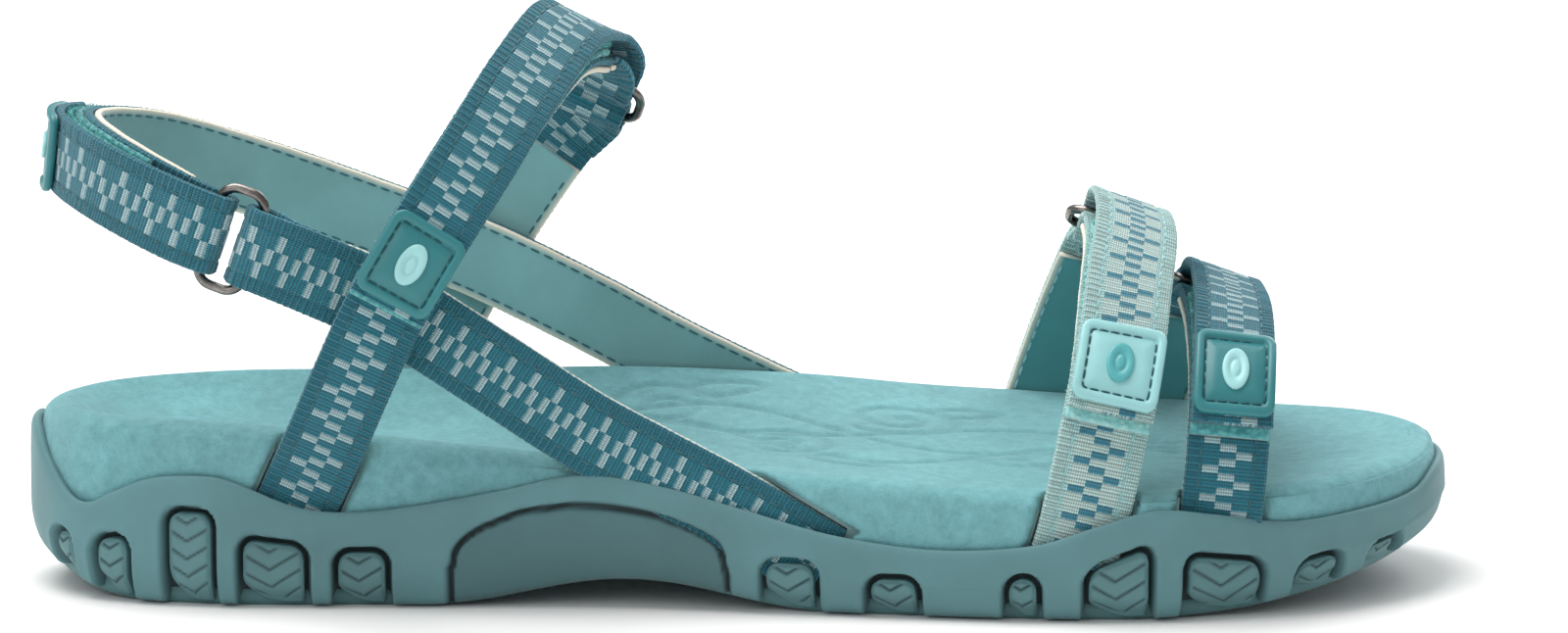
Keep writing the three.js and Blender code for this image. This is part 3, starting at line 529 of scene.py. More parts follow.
def tread(s, y, u, z):
    """Lower face of the plate: chevron lugs across the heel and forefoot, parted by 2 mm channels,
    and a smooth waist under the arch."""
    channel = 1 - bar_pattern(s + 0.5 * np.abs(y), 9.0, 6.6)
    centre = 1 - eased(1.2, 1.9, np.abs(y))
    waist = eased(78, 84, s) * (1 - eased(128, 134, s))
    cut = np.maximum(channel, centre) * (1 - waist) + 0.45 * waist
    return z + 2.0 * cut * eased(0, 0.06, u) * eased(0, 0.06, 1 - u)


def finger_blocks():
    """Closed blocks on the edge. Seen from outside, each is a window shape with a rounded top, its
    face follows the edge's curve 0.7 mm inside the wall, and chevron grooves 0.5 mm wide cross it."""
    points, faces, corner, base = [], [], [], 0
    wide, tall = 34, 40
    for centre, half, rise, rise_front, way in pods:
        a = np.linspace(-1, 1, wide)
        t = np.linspace(0, 1, tall)
        A, T = np.meshgrid(a, t, indexing="ij")
        heelward = (1 - A * way) / 2
        at = (centre + (A + 0.62 * way * heelward * np.maximum(1 - T / 0.5, 0) ** 2) * half) % girth
        place = np.stack([np.interp(at, run, edge[:, c], period=girth) for c in range(2)], -1)
        ways = np.stack([np.interp(at, run, inward[:, c], period=girth) for c in range(2)], -1)
        top = rise + (rise_front - rise) * (A * way / 2 + 0.5)
        edge_drop = np.maximum(np.abs(A) * half - half + min(POD_CORNER, half), 0)
        round_off = POD_CORNER - np.sqrt(np.maximum(POD_CORNER ** 2 - edge_drop ** 2, 0))
        top = top - round_off
        low = ground(place[..., 0]) + 0.9 + 0.8 * heelward * eased(0, 0.6, heelward - 0.4)
        z = low + (top - low) * T
        profile_in = 0.75 + 2.6 * (1 - eased(0, 5.5, z - low)) ** 2
        border = np.minimum(np.minimum((1 - np.abs(A)) * half, top - z), 9)
        roll = 0.5 * (1 - eased(0, 0.9, border))
        groove = 1 - bar_pattern(z - top.max() - 0.6 * np.abs(A + 0.12 * way) * half + 1.9, 3.3, 2.85)
        groove = groove * eased(0.35, 0.8, border) * eased(0.4, 1.2, z - low)
        inset = profile_in + roll + 0.55 * groove
        front = np.concatenate([place + ways * inset[..., None], z[..., None]], -1)
        back_inset = np.broadcast_to(6.2, inset.shape)
        back = np.concatenate([place + ways * back_inset[..., None], z[..., None]], -1)
        n = wide * tall
        grid = np.arange(n).reshape(wide, tall)
        f = np.stack([grid[:-1, :-1], grid[1:, :-1], grid[1:, 1:], grid[:-1, 1:]], -1).reshape(-1, 4)
        rim = np.concatenate([grid[:-1, 0], grid[-1, :-1], grid[:0:-1, -1], grid[0, :0:-1]])
        wall = np.stack([rim, np.roll(rim, -1), np.roll(rim, -1) + n, rim + n], -1)
        points += [front.reshape(-1, 3), back.reshape(-1, 3)]
        faces += [*(f + base), *(wall[:, ::-1] + base), rim[::-1] + base + n]
        # Painted shade: three quarters dark in the chevron grooves, fully dark on the hidden back face.
        corner += [groove.ravel() * 0.75, np.ones(n)]
        base += 2 * n
    points = np.vstack(points)
    points[:, 0] -= LENGTH / 2
    return points, faces, np.concatenate(corner)


low = lambda lift: (lambda s: ground(s) + lift)
plate = slab(
    [(PLATE_INSET + 0.6, low(0), low(0)), (PLATE_INSET, low(0.6), low(0.6)),
     (PLATE_INSET, low(PLATE_THICKNESS), low(PLATE_THICKNESS))],
    (6, 120), (lambda s, y, u, z: z, tread),
)
plate_faces = wrapped(len(plate), plate.shape[1], False)
block_points, block_faces, block_corner = finger_blocks()
outsole_finish = moulded("outsole_rubber", (84, 126, 130), (22, 42, 46), "corner", 0.55)
# The corner mark here is painted shade on the blocks; the plate has none.
outsole = mesh_piece(
    "outsole_tread", np.vstack([plate.reshape(-1, 3), block_points]),
    [*plate_faces, *(f + plate.shape[0] * plate.shape[1] for f in block_faces)], outsole_finish,
    corner=np.concatenate([np.zeros(plate.shape[0] * plate.shape[1]), block_corner]),
)
outward(outsole)
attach(outsole, "sandal")
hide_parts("outsole")

# ---- Shank and foam ----
# A nylon shank lies in the arch, and a soft foam core fills the footbed under its skin. Both are
# shut inside the finished sandal, so they keep their plain shapes and get their own finishes.

shank_finish = moulded("shank_nylon", (44, 48, 48), (20, 22, 22), "corner", 0.45, 0.03)
foam_finish = moulded("footbed_core", (124, 154, 156), (60, 80, 82), "corner", 0.9, 0.12)
for node, finish in (("shank_plate", shank_finish), ("footbed_foam", foam_finish)):
    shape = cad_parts[node].data
    shape.materials.clear()
    shape.materials.append(finish)

# ---- Straps: routes and rings' frames ----
# Woven tape runs from a slot between footbed and midsole up to a metal ring. One strap of each
# pair is sewn round the ring, the other passes through and folds back as a pull tab.

WEBBING = 1.5
LINING = 1.2
PATCH = 1.4
WIRE = 1.8
RING_GAP = 6.9
BAR_OFFSET = (RING_GAP + WIRE) / 2
FOLD_RADIUS = 2.6
TAB_OFFSET = 5.2
LINING_OFFSET = -1.65
BAR_STOP = 7.5
TAIL = 11
OUT, IN = (0, -1, 0), (0, 1, 0)
CLOSURES = {
    "ankle": dict(
        width=15, tab=88, names=("lateral", "medial"), centre=(-27.5, 19.5, 89.5),
        arrival=(-0.22, 0.7, -0.68), face=(0.387, 0.649, 0.655),
        free=[(-86, -29.4, 7), (-80.6, -29.6, 19.5), (-75.5, -32.4, 30.5), (-70.5, -35, 42),
              (-64.5, -36, 55), (-58, -35, 66.5), (-49.5, -29.5, 80), (-40.5, -18, 93),
              (-33.5, -3, 100), (-29.5, 7.6, 97.8)],
        free_ways=[OUT, OUT, (0, -1, -0.1), (0, -1, -0.05), (0, -1, 0.03), (0.08, -1, 0.15),
                   (0.3, -0.85, 0.45), (0.42, -0.45, 0.75), (0.5, 0, 0.86), (0.45, 0.4, 0.78)],
        keeper=[(-73, 27, 7), (-68, 27.3, 19.5), (-62.5, 30.8, 32), (-56.5, 34.6, 44),
                (-50, 35.6, 55.5), (-42.5, 34, 67.5), (-34.5, 30, 79)],
        keeper_ways=[IN, IN, (0, 1, -0.1), IN, (0.05, 1, 0.05), (0.15, 1, 0.2), (0.28, 0.8, 0.45)],
    ),
    "heel": dict(
        width=15, tab=48, names=("medial", "lateral"), centre=(-92.2, -30, 68),
        arrival=(0.93, -0.16, -0.33), face=(-0.17, -0.985, 0),
        free=[(34, 40.2, 13), (20, 36.4, 20), (5, 31.4, 27.8), (-11.7, 28.2, 36.5),
              (-28, 29.9, 45), (-50, 31.5, 55.5), (-72, 30.2, 64.2), (-92, 25.4, 71.8),
              (-110, 16, 78.3), (-121, -1.5, 81), (-116.2, -17, 79)],
        free_ways=[IN, IN, IN, IN, IN, (-0.02, 1, 0), (-0.1, 1, 0), (-0.35, 1, 0),
                   (-0.8, 0.75, 0.05), (-1, 0, 0.12), (-0.82, -0.7, 0.05)],
        keeper=[(16, -37, 9), (-2, -34.9, 19.4), (-16, -33, 26.6), (-28, -32.2, 33),
                (-45, -31.8, 44), (-62.7, -31.7, 55.2), (-77, -32.4, 61.8)],
        keeper_ways=[OUT] * 7,
    ),
    "forefoot": dict(
        width=16, tab=61, names=("lateral", "medial"), centre=(71.6, 14.5, 63.4),
        arrival=(-0.06, 0.9, -0.43), face=(0.3, 0.43, 0.87),
        free=[(59.5, -43.1, 7), (62.6, -43.4, 18), (65.5, -42, 31), (68.3, -35, 43.5),
              (70.3, -22, 55.5), (71.7, -7, 62.7)],
        free_ways=[OUT, OUT, (0.03, -1, 0.15), (0.1, -0.85, 0.45), (0.22, -0.55, 0.75),
                   (0.34, -0.2, 0.9)],
        keeper=[(53.5, 43.3, 8), (57, 43.5, 20), (61.5, 42.5, 34), (66.5, 36.5, 49),
                (70, 28.5, 58.7)],
        keeper_ways=[IN, IN, (0.03, 1, 0.1), (0.12, 0.85, 0.45), (0.2, 0.65, 0.65)],
    ),
    "toe": dict(
        width=15, tab=53, names=("lateral", "medial"), centre=(89.2, 14, 51.4),
        arrival=(-0.05, 0.95, -0.3), face=(0.3, 0.3, 0.92),
        free=[(86.3, -40.5, 9), (87.7, -40.7, 19.5), (88.9, -38.6, 32), (89.6, -31.2, 41.8),
              (89.8, -17.5, 48.3), (89.6, -3, 50.6)],
        free_ways=[OUT, OUT, (0.03, -1, 0.2), (0.1, -0.7, 0.7), (0.22, -0.35, 0.9),
                   (0.3, -0.05, 0.95)],
        keeper=[(75, 42.6, 10), (77, 42.8, 19.5), (80.5, 41, 32), (84.5, 34.5, 42),
                (87.6, 26.5, 48.8)],
        keeper_ways=[IN, IN, (0.03, 1, 0.2), (0.1, 0.75, 0.65), (0.2, 0.5, 0.83)],
    ),
}


def unit(v):
    """Vectors of length one."""
    v = np.asarray(v, float)
    return v / np.linalg.norm(v, axis=-1, keepdims=True)


def ring_frame(closure):
    """The ring's middle, the way the free strap arrives, the outward way square to it, and both bars."""
    along = unit(closure["arrival"])
    face = np.array(closure["face"], float)
    face = unit(face - along * (face @ along))
    centre = np.array(closure["centre"], float)
    return dict(centre=centre, along=along, face=face, across=np.cross(along, face),
                free_bar=centre - along * BAR_OFFSET, keeper_bar=centre + along * BAR_OFFSET)


class Route:
    """A strap's smooth middle line with its outward way, both looked up by the length run so far."""

    def __init__(self, points, ways):
        self.line = smooth_line(points, False, 1601)
        way = smooth_line(ways, False, 1601)
        ahead = unit(np.gradient(self.line, axis=0))
        self.way = unit(way - ahead * (way * ahead).sum(-1, keepdims=True))
        self.across = np.cross(ahead, self.way)
        steps = np.linalg.norm(np.diff(self.line, axis=0), axis=1)
        self.run = np.concatenate([[0], np.cumsum(steps)])
        self.length = self.run[-1]

    def at(self, runs, offset=0.0):
        """Middle points, outward ways and ways across at lengths along the route, lifted by an offset."""
        pick = lambda v: np.stack([np.interp(runs, self.run, v[:, c]) for c in range(3)], -1)
        way = unit(pick(self.way))
        lift = np.asarray(offset, float)
        line = pick(self.line) + way * (lift[..., None] if lift.ndim else lift)
        return line, way, unit(pick(self.across))

    def seat_run(self):
        """Length at which the strap comes out of the slot between footbed and midsole."""
        clear = self.line[:, 2] > seat_height(self.line[:, 0] + LENGTH / 2) - 1.5
        return self.run[np.argmax(clear)]


def closure_routes(closure):
    """Routes of the free strap, which ends under the ring's near bar, and of the keeper strap,
    which ends over its far bar. Each has a 4 mm straight lead."""
    ring = ring_frame(closure)
    routes = []
    for kind, bar, sign in (("free", ring["free_bar"], -1), ("keeper", ring["keeper_bar"], 1)):
        end = bar + ring["face"] * FOLD_RADIUS * sign
        lead = end + ring["along"] * 4 * sign
        ways = [*closure[kind + "_ways"], ring["face"], ring["face"]]
        routes.append(Route([*closure[kind], lead, end], ways))
    return ring, *routes


routes = {name: closure_routes(closure) for name, closure in CLOSURES.items()}


LINING_BACK = 2.75


def strap_dent(points):
    """How the soft footbed gives way: points that lie outside a strap's lining, beside its middle,
    are pushed straight in behind it, with an eased edge 1.2 mm wide."""
    flat = points.reshape(-1, 3).copy()
    for name, (_, free, keeper) in routes.items():
        half = CLOSURES[name]["width"] / 2
        for path in (free, keeper):
            runs = np.arange(0, min(75, path.length * 0.6), 1.0)
            line, way, across = path.at(runs)
            near = np.flatnonzero((flat > line.min(0) - 14).all(1) & (flat < line.max(0) + 14).all(1))
            if not len(near):
                continue
            mine = flat[near]
            k = np.argmin(((mine[:, None] - line[None]) ** 2).sum(-1), 1)
            off = mine - line[k]
            v = np.abs((off * across[k]).sum(-1))
            h = (off * way[k]).sum(-1)
            ahead = np.cross(way[k], across[k])
            beyond = np.abs((off * ahead).sum(-1)) > 1.5
            share = (1 - eased(half + 0.2, half + 1.4, v)) * (h > -6) * (~beyond)
            push = np.maximum(h + LINING_BACK, 0) * share
            flat[near] = mine - way[k] * push[:, None]
    return flat.reshape(points.shape)


# ---- Footbed cover ----
# Fine suede wrapped round the foam and tucked into the midsole: a softly bulging side wall, a
# rounded upper edge and a dished top with shallow swirls pressed into it. The straps press it in.

COVER_INSET = 2.5
top_outer = profile([
    (0, 34), (25, 34), (50, 33), (80, 30), (105, 27.5), (145, 25.5), (180, 23.8), (215, 23.4),
    (240, 24.2), (258, 26), (265, 27.5),
])
top_inner = profile([
    (0, 34), (25, 34.5), (50, 35), (80, 35.5), (110, 36), (140, 34), (170, 30), (200, 27.5),
    (230, 26.5), (258, 27), (265, 27.5),
])
dish_depth = profile([
    (0, 0), (7, 0), (18, 5), (40, 6.8), (80, 4.5), (120, 3), (160, 1.5), (200, 1), (240, 1),
    (258, 0), (265, 0),
])


def swirl_lines():
    """Plain ornament for the arch: spirals whose radius shrinks with the angle turned, joined by
    long S waves, as lines of (station, y) points."""
    lines = []
    for x, y, size, turns, start, hand in (
        (118, 9, 11, 1.6, 0.2, 1), (141, -9, 10, 1.5, 2.6, -1), (163, 12, 12, 1.7, 4.0, 1),
        (183, -12, 9, 1.4, 0.9, -1), (204, 9, 9, 1.5, 3.2, 1), (99, -8, 8, 1.4, 5.0, -1),
    ):
        t = np.linspace(0, 1, 260)
        angle = start + hand * t * turns * 2 * np.pi
        radius = size * (1 - t) ** 0.8 + 0.6
        lines.append(np.stack([x + radius * np.cos(angle), y + radius * np.sin(angle) * 0.8], -1))
    for phase, height, mid in ((0.0, 13, 1), (1.1, 17, -3), (2.3, 9, 5)):
        x = np.linspace(92, 214, 420)
        swell = np.sin(np.pi * (x - 92) / 122)
        lines.append(np.stack([x, mid + height * np.sin((x - 92) / 19 + phase) * swell], -1))
    for x, y, lean in ((130, 18, 0.4), (152, -20, -0.5), (176, 20, 0.3), (196, -20, -0.2), (110, -17, 0.2)):
        t = np.linspace(0, 2 * np.pi, 160)
        leaf = np.stack([7 * np.cos(t), 2.6 * np.sin(t) * (1 - 0.35 * np.cos(t))], -1)
        turn = np.array([[np.cos(lean), -np.sin(lean)], [np.sin(lean), np.cos(lean)]])
        lines.append(leaf @ turn.T + (x, y))
    return np.vstack(lines)


def pressed(s, y):
    """1 along the ornament's lines and 0 a little more than a millimetre away from them."""
    ornament = swirl_lines()
    deep = np.zeros(s.shape)
    area = (s > 85) & (s < 222)
    for part in np.array_split(np.flatnonzero(area), 40):
        gap = (s.flat[part][:, None] - ornament[None, :, 0]) ** 2
        gap += (y.flat[part][:, None] - ornament[None, :, 1]) ** 2
        deep.flat[part] = 1 - eased(0.35, 1.35, np.sqrt(gap.min(1)))
    return deep


def dished(s, y, u, z):
    """Top of the footbed: hollowed by four times the dish's depth times u(1 - u), and pressed in
    by the ornament."""
    y = np.broadcast_to(y, z.shape)
    return z - dish_depth(s) * 4 * u * (1 - u) - 0.5 * pressed(np.broadcast_to(s, z.shape), y)


STATIONS = 340
WALL_LEVELS = np.array([(0.9, -1.2), (0.4, 0.0), (0, 0.12), (-0.35, 0.3), (-0.45, 0.45), (-0.4, 0.6),
                        (-0.15, 0.74), (0.15, 0.84)]) + (COVER_INSET, 0)


def wall_height(top, share):
    """A level on the side wall: a share of the way from the seat to 0.4 mm below the top edge."""
    if share < 0:
        return lambda s: seat_height(s) + share
    return lambda s: seat_height(s) + 0.2 + share * (top(s) - 0.4 - seat_height(s) - 0.2)


def fine_levels():
    """The side wall in 24 levels, evenly spread over the known ones, then the quarter turn of the
    rounded edge."""
    at = np.linspace(0, len(WALL_LEVELS) - 1, 24)
    found = [[float(np.interp(a, range(len(WALL_LEVELS)), WALL_LEVELS[:, c])) for c in (0, 1)] for a in at]
    levels = [(i, wall_height(top_outer, h), wall_height(top_inner, h)) for i, h in found]
    for angle in np.linspace(0.25, np.pi / 2, 9):
        inset = COVER_INSET + 0.15 + 4.2 * (1 - math.cos(angle))
        drop = 2.9 * (1 - math.sin(angle))
        levels.append((inset, lambda s, d=drop: top_outer(s) - 0.12 - d,
                       lambda s, d=drop: top_inner(s) - 0.12 - d))
    return levels


cover_ring = strap_dent(slab(fine_levels(), (116, 8), (dished, lambda s, y, u, z: z)))
press = pressed(cover_ring[..., 0] + LENGTH / 2, cover_ring[..., 1]) * (cover_ring[..., 2] > 19)


def suede(name, base):
    """Suede: brushed clouds of lighter and darker nap a few centimetres across, short fibres, a
    matt surface with sheen, and a darker polished tone along pressed lines."""
    made, tree, shader = finish_of(name, 0.95, sheen=0.35)
    shader.inputs["Sheen Roughness"].default_value = 0.5
    shader.inputs["Sheen Tint"].default_value = colour(190, 225, 226)
    spot = added(tree, "TexCoord")
    brushed = added(tree, "TexNoise", Scale=26.0, Detail=5.0, Roughness=0.62, Distortion=0.8)
    nap = added(tree, "TexNoise", Scale=420.0, Detail=5.0, Roughness=0.75)
    fibre = added(tree, "TexNoise", Scale=2600.0, Detail=2.0)
    tone = ramp(tree, *shades(base), 0.3, 0.7)
    speck = added(tree, "ValToRGB")
    speck.color_ramp.elements[0].position, speck.color_ramp.elements[1].position = 0.35, 0.68
    speck.color_ramp.elements[0].color = (0.80, 0.82, 0.82, 1)
    speck.color_ramp.elements[1].color = (1.12, 1.1, 1.1, 1)
    mixed = added(tree, "Mix", data_type="RGBA", blend_type="MULTIPLY")
    mixed.inputs[0].default_value = 1.0
    line = added(tree, "Attribute", attribute_name="press")
    lined = added(tree, "Mix", data_type="RGBA")
    lined.inputs[7].default_value = colour(*[c * 0.8 for c in base])
    share = added(tree, "Math", operation="MULTIPLY")
    share.inputs[1].default_value = 0.35
    sum_of = added(tree, "Math", operation="ADD")
    bump = added(tree, "Bump", Strength=0.75, Distance=0.00022)
    link(tree, *((spot.outputs["Object"], noise.inputs["Vector"]) for noise in (brushed, nap, fibre)),
         (brushed.outputs[0], tone.inputs[0]), (nap.outputs[0], speck.inputs[0]),
         (tone.outputs[0], mixed.inputs[6]), (speck.outputs[0], mixed.inputs[7]),
         (mixed.outputs[2], lined.inputs[6]), (line.outputs["Fac"], share.inputs[0]),
         (share.outputs[0], lined.inputs[0]), (lined.outputs[2], shader.inputs["Base Color"]),
         (nap.outputs[0], sum_of.inputs[0]), (fibre.outputs[0], sum_of.inputs[1]),
         (sum_of.outputs[0], bump.inputs["Height"]), (bump.outputs[0], shader.inputs["Normal"]))
    return made


suede_finish = suede("footbed_suede", (110, 166, 172))
cover = mesh_piece("footbed_suede_cover", cover_ring.reshape(-1, 3),
                   wrapped(len(cover_ring), cover_ring.shape[1], False), suede_finish,
                   press=press)
outward(cover)
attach(cover, "sandal")
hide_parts("footbed_cover")

# ---- Webbing ----
# Woven polyester tape: ribbed plain borders, and between them three columns of raised pale blocks
# that step from side to side. The forefoot pair is woven the other way round, dark blocks on pale.

BORDER = 2.7
BLOCK = 1.3
COLUMN = 3.0


def weave_height(u, v, width):
    """Relief of the tape in millimetres. The borders have cross ribs, a cosine along u, and a soft
    edge. Blocks are raised where the column of v is the one that the row of u steps to."""
    half = width / 2
    in_border = eased(half - BORDER - 0.3, half - BORDER + 0.3, np.abs(v))
    ribs = 0.2 * np.cos(2 * np.pi * u / BLOCK + 1.2 * np.sign(v)) * in_border
    row = np.floor(u / BLOCK) % 4
    target = np.abs(row - 2) - 1
    block = (np.round(v / COLUMN) == target) & (np.abs(v) < half - BORDER)
    valley = -0.16 * np.exp(-(((np.abs(v) - half + BORDER) / 0.28) ** 2))
    return ribs + 0.13 * block * (1 - in_border) + valley


def tape(runs, line, way, across, width, thick, relief=True, u_start=0.0, back_relief=False):
    """Closed band. A rounded-rectangle section, width by thick, rides along the frames; its upper
    face takes the weave's relief. Returns points, faces and (u, v) in millimetres."""
    half, edge_r = width / 2, thick / 2
    top_v = np.linspace(-half + edge_r * 0.7, half - edge_r * 0.7, 44)
    turn = np.linspace(np.pi / 2, -np.pi / 2, 7)[1:-1]
    low_v = np.linspace(half - edge_r * 0.7, -half + edge_r * 0.7, 44 if back_relief else 16)
    v = np.concatenate([top_v, half - edge_r * 0.7 + edge_r * 0.7 * np.cos(turn), low_v,
                        -half + edge_r * 0.7 - edge_r * 0.7 * np.cos(turn[::-1])])
    n = np.concatenate([np.full(44, edge_r), edge_r * np.sin(turn), np.full(len(low_v), -edge_r),
                        edge_r * np.sin(turn[::-1])])
    up = np.zeros(len(v))
    up[:44] = 1
    if back_relief:
        up[49:49 + 44] = -1
    u = runs - runs[0] + u_start
    lift = np.abs(up) * weave_height(u[:, None], v[None], width) if relief else np.zeros((len(u), len(v)))
    frayed = 1 + 0.006 * np.sin(u * 5.1)[:, None] + 0.004 * np.sin(u * 11.3 + 1)[:, None]
    place = (line[:, None] + across[:, None] * (v[None] * frayed)[..., None]
             + way[:, None] * (n[None] + lift * np.sign(up)[None])[..., None])
    count = len(v)
    faces = wrapped(len(u), count, False)
    caps = np.concatenate([place[0].mean(0)[None], place[-1].mean(0)[None]])
    points = np.vstack([place.reshape(-1, 3), caps])
    ring = np.arange(count)
    hub = len(u) * count
    cap_faces = [(hub, (k + 1) % count, k) for k in ring]
    cap_faces += [(hub + 1, hub - count + k, hub - count + (k + 1) % count) for k in ring]
    uv = np.stack(np.broadcast_arrays(u[:, None], v[None]), -1).reshape(-1, 2)
    uv = np.vstack([uv, [[u[0], 0], [u[-1], 0]]])
    return points, [tuple(f) for f in faces] + cap_faces, uv


def joined(parts):
    """Several bodies' points and faces as one."""
    base, points, faces = 0, [], []
    for p, f, *_ in parts:
        points.append(p)
        faces += [tuple(int(i) + base for i in face) for face in f]
        base += len(p)
    return np.vstack(points), faces


def woven(name, ground_tone, block_tone, border_tone):
    """Woven tape, from its own (u, v) in millimetres. Block rows step right, middle, left, middle
    along u; fine threads 0.43 mm apart run along it, wefts cross it, and fibres roughen both.
    Painted shade darkens the colour between threads, between wefts and along the ribs."""
    made, tree, shader = finish_of(name, 0.78, sheen=0.28)
    shader.inputs["Sheen Roughness"].default_value = 0.45
    place = added(tree, "UVMap", uv_map="weave")
    wobble = added(tree, "TexNoise", Scale=1.7, Detail=2.0)
    shift = added(tree, "MapRange", To_Min=-0.16, To_Max=0.16)
    parts = added(tree, "SeparateXYZ")
    link(tree, (place.outputs[0], wobble.inputs["Vector"]), (wobble.outputs[0], shift.inputs[0]),
         (place.outputs[0], parts.inputs[0]))

    def sum_up(operation, first, second=None, third=None):
        node = added(tree, "Math", operation=operation)
        for socket, value in zip(node.inputs, (first, second, third)):
            if value is None:
                continue
            if isinstance(value, (int, float)):
                socket.default_value = value
            else:
                tree.links.new(value, socket)
        return node.outputs[0]

    u = sum_up("ADD", parts.outputs[0], shift.outputs[0])
    v = sum_up("ADD", parts.outputs[1], shift.outputs[0])
    row = sum_up("FLOOR", sum_up("DIVIDE", u, BLOCK))
    step = sum_up("FLOORED_MODULO", row, 4)
    target = sum_up("SUBTRACT", sum_up("ABSOLUTE", sum_up("SUBTRACT", step, 2)), 1)
    column = sum_up("ROUND", sum_up("DIVIDE", v, COLUMN))
    block = sum_up("COMPARE", column, target, 0.3)
    centre = sum_up("LESS_THAN", sum_up("ABSOLUTE", v), 4.45)
    shown = sum_up("MULTIPLY", block, centre)
    thread = sum_up("SINE", sum_up("MULTIPLY", parts.outputs[1], 2 * math.pi / 0.43))
    weft = sum_up("SINE", sum_up("MULTIPLY", parts.outputs[0], 2 * math.pi / 0.65))
    fibre = added(tree, "TexNoise", Scale=9.0, Detail=4.0, Roughness=0.7)
    tree.links.new(place.outputs[0], fibre.inputs["Vector"])
    # Painted shade between threads and wefts, times a random fibre tone.
    dim_thread = sum_up("MULTIPLY_ADD", thread, 0.2, 0.84)
    dim_weft = sum_up("MULTIPLY_ADD", weft, 0.26, 0.84)
    dim = sum_up("MULTIPLY", sum_up("MULTIPLY", dim_thread, dim_weft),
                 sum_up("MULTIPLY_ADD", fibre.outputs[0], 0.7, 0.68))
    mixes = []
    for amount, under, over in ((shown, colour(*ground_tone), colour(*block_tone)),
                                (centre, colour(*border_tone), None)):
        mix = added(tree, "Mix", data_type="RGBA")
        tree.links.new(amount, mix.inputs[0])
        mix.inputs[6].default_value = under
        if over is None:
            tree.links.new(mixes[0].outputs[2], mix.inputs[7])
        else:
            mix.inputs[7].default_value = over
        mixes.append(mix)
    # Painted shade along the ribs too.
    rib = sum_up("SINE", sum_up("MULTIPLY", parts.outputs[0], 2 * math.pi / BLOCK))
    shade = sum_up("MULTIPLY", dim, sum_up("MULTIPLY_ADD", rib, 0.1, 0.98))
    tint = added(tree, "Mix", data_type="RGBA", blend_type="MULTIPLY")
    tint.inputs[0].default_value = 1.0
    grey = added(tree, "CombineColor")
    for socket in grey.inputs[:3]:
        tree.links.new(shade, socket)
    link(tree, (mixes[1].outputs[2], tint.inputs[6]), (grey.outputs[0], tint.inputs[7]),
         (tint.outputs[2], shader.inputs["Base Color"]))
    relief = sum_up("ADD", sum_up("MULTIPLY", thread, 0.5), sum_up("MULTIPLY", weft, 0.5))
    relief = sum_up("ADD", relief, sum_up("MULTIPLY", fibre.outputs[0], 1.6))
    bump = added(tree, "Bump", Strength=0.9, Distance=0.00022)
    link(tree, (relief, bump.inputs["Height"]), (bump.outputs[0], shader.inputs["Normal"]))
    return made


teal_webbing = woven("teal_webbing", (16, 138, 160), (190, 228, 236), (12, 132, 154))
aqua_webbing = woven("aqua_webbing", (222, 255, 252), (66, 160, 186), (206, 250, 248))
WEBBING_OF = {name: aqua_webbing if name == "forefoot" else teal_webbing for name in CLOSURES}
STEP = 0.42


def half_turn(ring, bar, sign, count=26):
    """Points and outward ways of half a turn round a bar, from its inner side out, bulging along
    the ring by sign."""
    angle = np.linspace(0, np.pi, count)[:, None]
    radial = -ring["face"] * np.cos(angle) + ring["along"] * sign * np.sin(angle)
    return bar + radial * FOLD_RADIUS, radial


def keeper_band(ring, path):
    """Frames of the keeper strap: up to the bar, round it, and back along its own inner face,
    where 11 mm of it is sewn down."""
    start = path.seat_run()
    runs = np.arange(start, path.length, STEP)
    line, way, _ = path.at(runs)
    turn = [part[::-1][1:] for part in half_turn(ring, ring["keeper_bar"], -1)]
    back = np.arange(STEP, TAIL, STEP)
    merge = np.clip(back / 7, 0, 1)
    offset = -TAB_OFFSET + (TAB_OFFSET - (WEBBING + 0.3)) * merge * merge * (3 - 2 * merge)
    tail_line, tail_way, _ = path.at(path.length - back, offset)
    line = np.vstack([line, turn[0], tail_line])
    way = np.vstack([way, turn[1], -tail_way])
    steps = np.linalg.norm(np.diff(line, axis=0), axis=1)
    across = unit(np.cross(unit(np.gradient(line, axis=0)), way))
    return np.concatenate([[0], np.cumsum(steps)]), line, way, across


def strap(name, band, width, closure):
    """A strap of the webbing, with the weave on its outer face, that rides on the sandal."""
    points, faces, uv = tape(*band, width, WEBBING, back_relief=True)
    piece = mesh_piece(name + "_webbing", points, faces, WEBBING_OF[closure], uv=uv)
    outward(piece)
    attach(piece, "sandal")
    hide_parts(name + "_strap")


for closure, (ring, free, keeper) in routes.items():
    width = CLOSURES[closure]["width"]
    free_side, keeper_side = CLOSURES[closure]["names"]
    runs = np.arange(free.seat_run(), free.length - BAR_STOP, STEP)
    strap(f"{free_side}_{closure}", (runs, *free.at(runs)), width, closure)
    strap(f"{keeper_side}_{closure}", keeper_band(ring, keeper), width, closure)

# ---- Linings ----
# Soft microfibre on a cream foam backing, sewn along the inner face of every strap. Its cut edge
# shows as a thin cream line, and a seam runs along both sides, pale on the aqua pair.

CREAM_EDGE = 0.7


